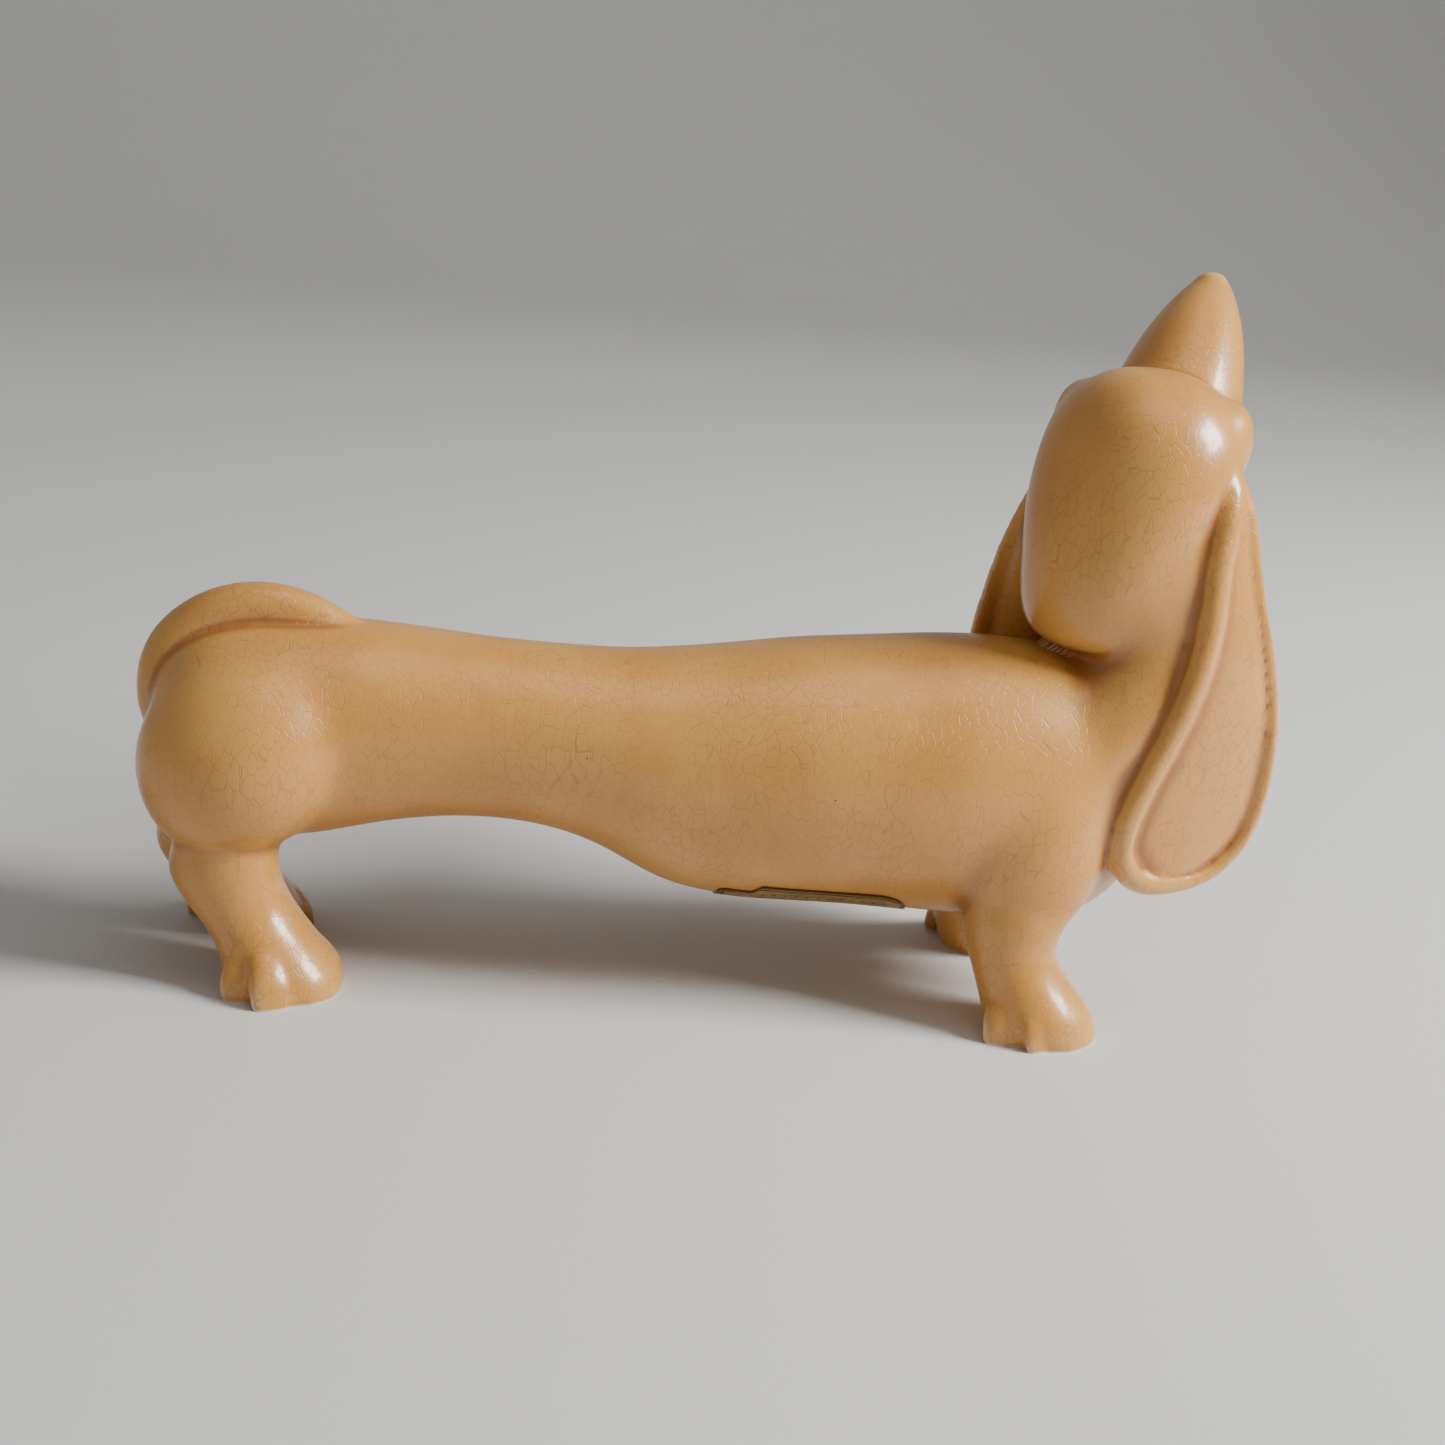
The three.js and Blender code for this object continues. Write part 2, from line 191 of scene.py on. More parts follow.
@dataclass(frozen=True)
class Stance:
    """Where the dog's hips, chest and head are, in millimetres in the row's frame.

    Its lengths are the clay pieces' own, and the whole is set from the right fore leg's box.
    """

    leg_spacing: float = 146.0
    hip_height: float = 48.5
    chest_height: float = 44.5
    head_lift: float = 60.5
    head_turn: float = 58.0
    set_back: float = 15.0
    fore_leg_corner: tuple[float, float] = (53.07, -33.92)

    @property
    def _shift(self) -> Vector:
        """Returns how far the row's frame lies from the middle of the dog."""
        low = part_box("front_right_leg")[0]
        corner_x, corner_y = self.fore_leg_corner
        return Vector((low.x / MM - corner_x, low.y / MM - corner_y, 0))

    def hips(self, x: float, y: float, z: float) -> Vector:
        """Returns a place counted from the middle of the rump."""
        ahead = x - self.leg_spacing / 2 - self.set_back
        return Vector((ahead, y, z + self.hip_height)) + self._shift

    def chest(self, x: float, y: float, z: float) -> Vector:
        """Returns a place counted from the middle of the chest."""
        ahead = x + self.leg_spacing / 2 - self.set_back
        return Vector((ahead, y, z + self.chest_height)) + self._shift

    def between(self, share: float, z: float) -> Vector:
        """Returns a place on the middle line, a share of the way from hips to chest."""
        place = self.hips(0, 0, 0).lerp(self.chest(0, 0, 0), share)
        return place + Vector((0, 0, z))

    @property
    def head_axes(self) -> Matrix:
        """Returns the head's own axes: X where the face looks, Y the left cheek."""
        return Matrix.Rotation(math.radians(self.head_turn), 3, "Z")

    def head(self, x: float, y: float, z: float) -> Vector:
        """Returns a place counted from the middle of the skull, along the head's own axes."""
        return self.chest(24, 4, self.head_lift) + self.head_axes @ Vector((x, y, z))


# ---------------------------------------------------------------- strung forms


@dataclass(frozen=True)
class Ring:
    """One cross-section: its middle, its half sizes in millimetres and its turn in degrees."""

    at: Vector
    wide: float
    tall: float | None = None
    turn: float = 0.0

    @property
    def halves(self) -> tuple[float, float]:
        """Returns the half sizes across and up."""
        return self.wide, self.wide if self.tall is None else self.tall


UPRIGHT = Matrix(((0, 0, 1), (1, 0, 0), (0, 1, 0)))  # rings face +X: wide is Y, tall is Z
LEVEL = Matrix(((0, -1, 0), (1, 0, 0), (0, 0, 1)))  # rings face +Z: wide is Y, tall is X


@dataclass
class StrungForm:
    """A closed rounded form extruded ring by ring along a line of stations."""

    name: str
    rings: list[Ring]
    axes: Matrix = field(default_factory=lambda: LEVEL.copy())
    sides: int = 16
    stage: Stage = Stage.BODY

    def build(self) -> bpy.types.Object:
        """Extrudes a disc through every ring, then subdivides it smooth.

        Returns:
            The finished form, with its place in its mesh.
        """
        grow = 6 / (4 + 2 * math.cos(math.tau / self.sides))
        choose()
        first, *rest = self.rings
        bpy.ops.mesh.primitive_circle_add(
            vertices=self.sides,
            radius=MM,
            fill_type="NGON",
            location=first.at * MM,
            rotation=self.axes.to_euler(),
        )
        obj = bpy.context.view_layer.objects.active
        obj.name = self.name
        bpy.ops.object.transform_apply(location=True, rotation=True, scale=True)
        last = Ring(first.at, 1 / grow, 1 / grow)
        with edit(obj):
            bpy.ops.mesh.select_all(action="SELECT")
            self._size(last, first)
            last = first
            for ring in rest:
                bpy.ops.mesh.extrude_region_move(
                    TRANSFORM_OT_translate={"value": (ring.at - last.at) * MM}
                )
                self._size(last, ring)
                self._turn(ring, ring.turn - last.turn)
                last = ring
            bpy.ops.mesh.select_all(action="SELECT")
            bpy.ops.mesh.normals_make_consistent(inside=False)
        finish_modifier(obj, "SUBSURF", levels=2, render_levels=2)
        return obj

    def _size(self, old: Ring, new: Ring) -> None:
        """Stretches the selected ring from one ring's half sizes to another's."""
        (old_wide, old_tall), (wide, tall) = old.halves, new.halves
        bpy.ops.transform.resize(
            value=(wide / old_wide, tall / old_tall, 1),
            orient_type="GLOBAL",
            orient_matrix=self.axes @ Matrix.Rotation(math.radians(old.turn), 3, "Z"),
            orient_matrix_type="GLOBAL",
            center_override=new.at * MM,
        )

    def _turn(self, ring: Ring, degrees: float) -> None:
        """Turns the selected ring about the line it is strung on."""
        if degrees:
            bpy.ops.transform.rotate(
                value=-math.radians(degrees),
                orient_axis="Z",
                orient_type="GLOBAL",
                orient_matrix=self.axes,
                orient_matrix_type="GLOBAL",
                center_override=ring.at * MM,
            )


@dataclass
class Rope:
    """A round clay rope along a smooth line, thick as each of its points says."""

    name: str
    points: list[tuple[Vector, float]]
    stage: Stage = Stage.DETAIL

    def build(self) -> bpy.types.Object:
        """Draws the line as a curve with a round bevel and makes it a mesh.

        Returns:
            The rope, with its place in its mesh.
        """
        choose()
        bpy.ops.curve.primitive_nurbs_path_add(location=(0, 0, 0))
        obj = bpy.context.view_layer.objects.active
        obj.name = self.name
        curve = obj.data
        curve.splines.clear()
        spline = curve.splines.new("NURBS")
        spline.points.add(len(self.points) - 1)
        for knot, (at, radius) in zip(spline.points, self.points):
            knot.co = (*(at * MM), 1)
            knot.radius = radius
        spline.order_u = 4
        spline.use_endpoint_u = True
        curve.bevel_depth = MM
        curve.bevel_resolution = 5
        curve.resolution_u = 10
        curve.use_fill_caps = True
        bpy.ops.object.convert(target="MESH")
        obj = bpy.context.view_layer.objects.active
        with edit(obj):
            bpy.ops.mesh.select_all(action="SELECT")
            bpy.ops.mesh.remove_doubles(threshold=0.00001)
            bpy.ops.mesh.normals_make_consistent(inside=False)
        return obj


Form = StrungForm | Rope


# ---------------------------------------------------------------- sub-assemblies of clay


@dataclass
class Trunk:
    """The long body: barrel, haunches, shoulders and the column of the neck."""

    stance: Stance
    rump_half: float = 20.0
    waist_half: float = 16.0
    chest_half_depth: float = 26.0
    chest_half_width: float = 24.0
    neck_radius: float = 18.5

    def forms(self) -> list[Form]:
        """Returns the trunk's forms."""
        forms: list[Form] = [self._barrel(), self._neck()]
        for side in Side:
            forms += [self._haunch(side), self._shoulder(side)]
        return forms

    def _barrel(self) -> StrungForm:
        """Returns the barrel from rump to breastbone."""
        s, rump, waist = self.stance, self.rump_half, self.waist_half
        deep, broad = self.chest_half_depth, self.chest_half_width
        rings = [
            Ring(s.hips(-16.5, 0, 2), 6, 7),
            Ring(s.hips(-13, 0, 1.5), 12, 13.5),
            Ring(s.hips(-6, 0, 0.5), 16, rump - 1.5),
            Ring(s.hips(3, 0, 0), 18.5, rump + 0.5),
            Ring(s.hips(13, 0, -0.5), 18.5, rump + 1),
            Ring(s.between(0.17, 2), waist + 1.5, rump - 1),
            Ring(s.between(0.26, 2.8), waist, waist + 1.4),
            Ring(s.between(0.34, 2.8), waist, waist + 0.6),
            Ring(s.between(0.42, 2.2), waist + 1, waist + 1.2),
            Ring(s.between(0.49, 0.6), waist + 2.8, waist + 2.8),
            Ring(s.between(0.56, -2), broad - 3.5, deep - 3.4),
            Ring(s.between(0.64, -2), broad - 2, deep - 1.6),
            Ring(s.between(0.73, -0.5), broad - 0.5, deep - 0.4),
            Ring(s.chest(-26, 0, 1), broad, deep),
            Ring(s.chest(-12, 0, 1.3), broad, deep + 1.5),
            Ring(s.chest(3, 0, 1), broad - 0.5, deep + 2),
            Ring(s.chest(17, 0, -0.5), broad - 2.5, deep + 1.5),
            Ring(s.chest(28, 0, 0.5), broad - 7, deep - 4),
            Ring(s.chest(34, 0, 3), 9, 12),
        ]
        return StrungForm("barrel", rings, UPRIGHT.copy(), sides=20)

    def _neck(self) -> StrungForm:
        """Returns the column from the chest up into the skull."""
        s, r = self.stance, self.neck_radius
        rings = [
            Ring(s.chest(11, 0, -5), r - 2, r - 2),
            Ring(s.chest(17, 0, 8), r + 2, r + 1),
            Ring(s.chest(25, 0, 20), r - 0.5, r - 3),
            Ring(s.chest(30.5, 0, 31), r - 2.5, r - 6.5),
            Ring(s.chest(31.2, 0, 43), r - 3, r - 6.5),
            Ring(s.chest(29.5, 0, 54), r - 4, r - 7),
            Ring(s.chest(28, 0, 62), r - 8, r - 10),
        ]
        return StrungForm("neck", rings)

    def _haunch(self, side: Side) -> StrungForm:
        """Returns the ball of one thigh."""
        s, y = self.stance, side.value
        rings = [
            Ring(s.hips(4, y * 7, 16), 5, 7),
            Ring(s.hips(3, y * 9.5, 11), 10.5, 15),
            Ring(s.hips(1.2, y * 11.5, 1), 14, 19.2),
            Ring(s.hips(0.6, y * 12, -9), 13.2, 18.4),
            Ring(s.hips(-1, y * 11.2, -17), 10, 13.5),
            Ring(s.hips(-1.5, y * 10.5, -21), 7, 8.5),
        ]
        return StrungForm(f"haunch_{side.word}", rings)

    def _shoulder(self, side: Side) -> StrungForm:
        """Returns the flat muscle over one fore leg."""
        s, y = self.stance, side.value
        rings = [
            Ring(s.chest(8, y * 7, 18), 6, 7),
            Ring(s.chest(8, y * 11.5, 8), 11, 14),
            Ring(s.chest(8, y * 14.5, -6), 10.5, 14.5),
            Ring(s.chest(7.5, y * 16.5, -17), 9.3, 12.5),
            Ring(s.chest(6, y * 17.5, -25), 7, 8),
        ]
        return StrungForm(f"shoulder_{side.word}", rings)


@dataclass
class Head:
    """The raised, turned head: skull, brows, muzzle, nose and eyes."""

    stance: Stance
    skull_half_width: float = 19.5
    muzzle_length: float = 47.0
    muzzle_rise: float = 52.0
    eye_radius: float = 3.4

    def forms(self) -> list[Form]:
        """Returns the head's forms."""
        forms: list[Form] = [self._skull(), self._muzzle(), self._nose()]
        for side in Side:
            forms += [self._brow(side), self._eye(side)]
        return forms

    def along_muzzle(self, share: float, up: float = 0.0, across: float = 0.0) -> Vector:
        """Returns a place along the muzzle's middle line, or off it by up and across."""
        rise = math.radians(self.muzzle_rise)
        reach = share * self.muzzle_length
        x = 12 + reach * math.cos(rise) - up * math.sin(rise)
        z = 2 + reach * math.sin(rise) + up * math.cos(rise)
        return self.stance.head(x, across, z)

    @property
    def muzzle_axes(self) -> Matrix:
        """Returns axes for rings that face along the muzzle: wide is across it."""
        tilt = Matrix.Rotation(math.radians(90 - self.muzzle_rise), 3, "Y")
        return self.stance.head_axes @ tilt @ LEVEL

    def _skull(self) -> StrungForm:
        """Returns the long egg of the skull, its lower end out over the back."""
        s, w = self.stance, self.skull_half_width
        rings = [
            Ring(s.head(-7, 2.4, -31), w - 10, 8.5),
            Ring(s.head(-7, 2.4, -28.5), w - 6, 12),
            Ring(s.head(-6.2, 1.9, -22.5), w - 3.2, 14.8),
            Ring(s.head(-4.8, 1.2, -14.5), w - 1.8, 16.6),
            Ring(s.head(-2.5, 1, -6), w, 18),
            Ring(s.head(-1, 0, 4), w + 0.5, 18),
            Ring(s.head(0.5, 0, 13), w - 1, 17),
            Ring(s.head(2, 0, 19.5), w - 6, 13),
            Ring(s.head(2, 0, 23), w - 13, 6),
        ]
        return StrungForm("skull", rings, s.head_axes @ LEVEL, sides=20, stage=Stage.MASS)

    def _muzzle(self) -> StrungForm:
        """Returns the blunt cone of the muzzle."""
        rings = [
            Ring(self.along_muzzle(-0.15), 8, 8),
            Ring(self.along_muzzle(0.1), 14, 13.5),
            Ring(self.along_muzzle(0.4), 13, 12),
            Ring(self.along_muzzle(0.7), 9.4, 8.8),
            Ring(self.along_muzzle(0.88), 5.6, 5.3),
            Ring(self.along_muzzle(1.0), 2.1, 2.1),
        ]
        return StrungForm("muzzle", rings, self.muzzle_axes, stage=Stage.MASS)

    def _nose(self) -> StrungForm:
        """Returns the small pad at the muzzle's tip."""
        rings = [
            Ring(self.along_muzzle(0.86, 2.2), 1.8, 1.5),
            Ring(self.along_muzzle(0.9, 2.2), 3.6, 2.8),
            Ring(self.along_muzzle(0.95, 1.6), 3.4, 2.6),
            Ring(self.along_muzzle(0.99, 1.0), 1.5, 1.2),
        ]
        return StrungForm("nose", rings, self.muzzle_axes, sides=12, stage=Stage.DETAIL)

    def _brow(self, side: Side) -> StrungForm:
        """Returns the bulge over one eye."""
        s, y, w = self.stance, side.value, self.skull_half_width
        rings = [
            Ring(s.head(9, y * 4, 7), 5),
            Ring(s.head(8, y * 10, 9), 9.5),
            Ring(s.head(6, y * (w - 5.5), 10), 9.6),
            Ring(s.head(5, y * (w + 0.2), 10.5), 6),
        ]
        facing_cheek = s.head_axes @ Matrix(((1, 0, 0), (0, 0, 1), (0, 1, 0)))
        name = f"brow_{side.word}"
        return StrungForm(name, rings, facing_cheek, sides=14, stage=Stage.MASS)

    def _eye(self, side: Side) -> StrungForm:
        """Returns one eyeball, half sunk under its brow."""
        s, y, r = self.stance, side.value, self.eye_radius
        middle = s.head(16.5, y * 12.5, 10)
        rings = [
            Ring(middle + Vector((0, 0, k * r)), r * math.sqrt(max(1 - k * k, 0.1)))
            for k in (-0.95, -0.5, 0, 0.5, 0.95)
        ]
        axes = s.head_axes @ LEVEL
        return StrungForm(f"eye_{side.word}", rings, axes, sides=12, stage=Stage.DETAIL)


@dataclass(frozen=True)
class Hang:
    """One station down an ear: offset from its root, share of its drop, half width and turn."""

    x: float
    y: float
    share: float
    half: float
    turn: float


@dataclass
class Ear:
    """A leaf-shaped ear: a dished slab with a rope down its rear edge and a finer front rim."""

    stance: Stance
    side: Side
    drop: float = 80.5
    half_thickness: float = 2.2
    rear_rim: float = 2.5
    front_rim: float = 1.5
    proud: float = 0.8
    knob: float = 3.2
    knob_at: float = 0.01
    knob_length: float = 0.1
    tuck: float = 1.9

    def forms(self) -> list[Form]:
        """Returns the ear's forms."""
        return [self._slab(), self._rim()]

    @property
    def _hangs(self) -> list[Hang]:
        """Returns the stations down the ear."""
        if self.side is Side.RIGHT:
            return [
                Hang(-3.5, 3.5, -0.04, 2.2, 24),
                Hang(-1.4, -1.2, 0.01, 2.8, 24),
                Hang(-0.4, -3.4, 0.08, 4.0, 24),
                Hang(-0.2, -5.0, 0.19, 6.0, 24),
                Hang(1.0, -6.2, 0.3, 7.2, 23),
                Hang(2.4, -7.0, 0.41, 9.2, 21),
                Hang(2.6, -7.8, 0.54, 12.0, 19),
                Hang(0.8, -8.6, 0.68, 15.0, 17),
                Hang(-2.0, -9.0, 0.83, 16.8, 15),
                Hang(-3.4, -9.0, 0.92, 15.2, 15),
                Hang(-4.2, -9.0, 0.975, 11.2, 15),
                Hang(-4.2, -9.0, 1.0, 6.0, 15),
            ]
        return [
            Hang(9, -5, -0.04, 2.2, 109),
            Hang(7, -3, 0.01, 2.8, 109),
            Hang(6, -3, 0.08, 4.0, 112),
            Hang(4, 0, 0.25, 7.0, 125),
            Hang(6, 6, 0.45, 9.5, 146),
            Hang(9, 14, 0.64, 12.0, 166),
            Hang(12, 17.5, 0.83, 13.5, 182),
            Hang(12.8, 18, 0.92, 12.2, 185),
            Hang(13, 18, 0.975, 8.5, 186),
            Hang(13, 18, 1.0, 4.5, 186),
        ]

    @property
    def _root(self) -> Vector:
        """Returns where the ear hangs from."""
        if self.side is Side.RIGHT:
            return self.stance.chest(40, -6, 66)
        return self.stance.chest(3, 12, 66)

    def _middle(self, hang: Hang) -> Vector:
        """Returns a place on the ear's middle line."""
        return self._root + Vector((hang.x, hang.y, -self.drop * hang.share))

    def _slab(self) -> StrungForm:
        """Returns the ear's thin body."""
        first = self._hangs[0].turn
        lifted = Vector((0, 0, self.tuck))
        rings = [
            Ring(
                self._middle(h) + lifted * max(h.share, 0),
                max(h.half - self.tuck, 1),
                self.half_thickness,
                h.turn - first,
            )
            for h in self._hangs
        ]
        axes = Matrix.Rotation(math.radians(first), 3, "Z")
        name = f"{self.side.word}_ear_slab"
        return StrungForm(name, rings, axes, stage=Stage.DETAIL)

    def _rim_point(self, hang: Hang, edge: int) -> tuple[Vector, float]:
        """Returns where the rim runs at one station, and how thick it is there."""
        turn = math.radians(hang.turn)
        across = Vector((math.cos(turn), math.sin(turn), 0))
        out = Vector((-across.y, across.x, 0)) * self.side.value
        radius = self.rear_rim if edge < 0 else self.front_rim
        from_knob = abs(hang.share - self.knob_at) / self.knob_length
        near_root = max(0.0, 1 - from_knob) * (edge < 0)
        thick = radius + (self.knob - radius) * near_root
        at = self._middle(hang) + across * edge * (hang.half - radius * 0.7) + out * self.proud
        return at, thick

    def _rim(self) -> Rope:
        """Returns the rolled rim: down the rear edge, round the lobe and up the front."""
        down = [self._rim_point(hang, -1) for hang in self._hangs]
        up = [self._rim_point(hang, 1) for hang in reversed(self._hangs)]
        return Rope(f"{self.side.word}_ear_rim", down + up)


@dataclass
class Tail:
    """The thick rope of the tail, laid up over the rump and forward along the croup."""

    stance: Stance
    radius: float = 4.5

    def forms(self) -> list[Form]:
        """Returns the tail's one rope."""
        s, r = self.stance, self.radius
        points = [
            (s.hips(-9, 0, -8), r * 0.5),
            (s.hips(-15.0, 0, -2), r * 0.8),
            (s.hips(-16.0, 0, 7), r),
            (s.hips(-13.2, 0, 15.6), r),
            (s.hips(-5, 0, 21.8), r),
            (s.hips(4, 0, 23.3), r),
            (s.hips(12, 0, 22.2), r - 0.6),
            (s.hips(19, 0, 19.8), r - 2.0),
            (s.hips(25, 0, 17.2), 1.2),
        ]
        return [Rope("tail_rope", points)]


@dataclass(frozen=True)
class Toe:
    """One toe: its turn from where the foot points, in degrees, and its reach from the ankle."""

    turn: float
    reach: float


@dataclass
class Leg:
    """One lower leg: a shank that opens into a bell of a foot, with four soft toes."""

    stance: Stance
    side: Side
    hind: bool
    fore_stance: float = 18.5
    hind_stance: float = 9.5
    hind_step: float = 5.5
    fore_splay: float = 26.0
    right_hind_pointing: float = -35.0
    left_hind_pointing: float = 62.0
    foot_reach: float = 8.6
    foot_half_length: float = 11.4
    foot_half_width: float = 9.8
    toe_radius: float = 4.0

    def forms(self) -> list[Form]:
        """Returns the leg's forms."""
        return [self._shank(), *self._toe_forms()]

    @property
    def name(self) -> str:
        """Returns the clay piece's name."""
        return f"{'rear' if self.hind else 'front'}_{self.side.word}_leg"

    @property
    def _step(self) -> float:
        """Returns how far back this leg stands."""
        return -self.hind_step if self.hind and self.side is Side.LEFT else 0.0

    @property
    def _y(self) -> float:
        """Returns the ankle's place across the dog."""
        return self.side.value * (self.hind_stance if self.hind else self.fore_stance)

    @property
    def ankle(self) -> Vector:
        """Returns the ankle's place on the floor."""
        s = self.stance
        place = s.hips(4 + self._step, self._y, 0) if self.hind else s.chest(5, self._y, 0)
        return Vector((place.x, place.y, 0))

    @property
    def pointing(self) -> float:
        """Returns where the foot points, in degrees from ahead."""
        if not self.hind:
            return self.side.value * self.fore_splay
        return self.left_hind_pointing if self.side is Side.LEFT else self.right_hind_pointing

    @property
    def _toes(self) -> tuple[Toe, ...]:
        """Returns the toes, from the outermost inwards."""
        if self.hind:
            return (Toe(60, 12.6), Toe(37, 16.6), Toe(2, 17.4), Toe(-28, 17.4))
        return (Toe(76, 10.8), Toe(40, 13.8), Toe(12, 16.6), Toe(-14, 17.6))

    def _out(self, turn: float, reach: float, z: float) -> Vector:
        """Returns a place out from the ankle, at a turn from where the foot points."""
        angle = math.radians(self.pointing + turn)
        return self.ankle + Vector((math.cos(angle) * reach, math.sin(angle) * reach, z))

    def _shank(self) -> StrungForm:
        """Returns the column from inside the thigh or shoulder down to the sole."""
        s, side = self.stance, self.side.value
        wide, long, reach = self.foot_half_width, self.foot_half_length, self.foot_reach
        if self.hind:
            rings = [
                Ring(s.hips(0.5, side * 10.5, -14), 7, 8),
                Ring(s.hips(-1.5 + self._step / 2, side * 10.5, -21.5), 9.3, 9.8),
                Ring(s.hips(-1.9 + self._step, side * 10, -27), 9.2, 10.4),
                Ring(s.hips(1.8 + self._step, self._y, -33.5), 8.8, 9.6),
            ]
        else:
            rings = [
                Ring(s.chest(7, side * 16.5, -13), 7, 9),
                Ring(s.chest(6.2, side * 17.5, -20), 9, 11),
                Ring(s.chest(4.6, side * 18, -26.5), 8.2, 8.3),
                Ring(self._out(0, 1.2, 13.5), 8.3, 8.6),
            ]
        rings += [
            Ring(self._out(0, reach * 0.5, 9), wide - 0.9, long - 1.7),
            Ring(self._out(0, reach * 0.8, 5), wide - 0.1, long - 0.5),
            Ring(self._out(0, reach, 1.5), wide - 0.3, long - 0.4),
            Ring(self._out(0, reach, -2.5), wide - 0.6, long - 0.7),
        ]
        return StrungForm(f"{self.name}_shank", rings, stage=Stage.MASS)

    def _toe_forms(self) -> list[StrungForm]:
        """Returns the four toes."""
        r = self.toe_radius
        forms = []
        for number, toe in enumerate(self._toes, 1):
            turn = toe.turn * self.side.value
            rings = [
                Ring(self._out(turn, toe.reach * 0.35, 12), r * 0.6),
                Ring(self._out(turn, toe.reach * 0.62, 8), r - 0.7),
                Ring(self._out(turn, toe.reach * 0.86, 3.8), r),
                Ring(self._out(turn, toe.reach, 1.0), r - 0.4),
                Ring(self._out(turn, toe.reach * 1.04, -1.8), r * 0.6),
            ]
            facing = Matrix.Rotation(math.radians(self.pointing + turn), 3, "Z") @ UPRIGHT
            name = f"{self.name}_toe_{number}"
            forms.append(StrungForm(name, rings, facing, sides=12, stage=Stage.DETAIL))
        return forms


# ---------------------------------------------------------------- the glazed skin


@dataclass(frozen=True)
class Softening:
    """A round zone where the clay was blended away with a wet thumb."""

    at: Vector
    radius: float
    rounds: int
    stage: Stage = Stage.MASS
    fullness: float = 1.6

    def work(self, skin: bpy.types.Object) -> None:
        """Smooths the skin inside the zone, fading to nothing at its edge.

        Args:
            skin: The whole clay skin.
        """
        away = np.linalg.norm(points_of(skin) - np.array(self.at * MM), axis=1)
        share = np.clip(1 - away / (self.radius * MM), 0, 1)
        group = skin.vertex_groups.new(name="softened")
        for index in np.nonzero(share > 0)[0]:
            group.add([int(index)], float(min(share[index] * self.fullness, 1)), "REPLACE")
        finish_modifier(
            skin, "SMOOTH", factor=0.5, iterations=self.rounds, vertex_group="softened"
        )
        skin.vertex_groups.remove(skin.vertex_groups["softened"])


@dataclass(frozen=True)
class AirHole:
    """The round hole that lets air out of the hollow body in the kiln."""

    mouth: Vector
    radius: float = 1.9
    depth: float = 7.0

    def cut(self, skin: bpy.types.Object) -> None:
        """Drills the hole upwards from its mouth.

        Args:
            skin: The whole clay skin.
        """
        choose()
        bpy.ops.mesh.primitive_cylinder_add(
            vertices=32,
            radius=self.radius * MM,
            depth=2 * self.depth * MM,
            location=self.mouth * MM,
        )
        bar = bpy.context.view_layer.objects.active
        finish_modifier(skin, "BOOLEAN", operation="DIFFERENCE", object=bar, solver="EXACT")
        choose(bar)
        bpy.ops.object.delete()


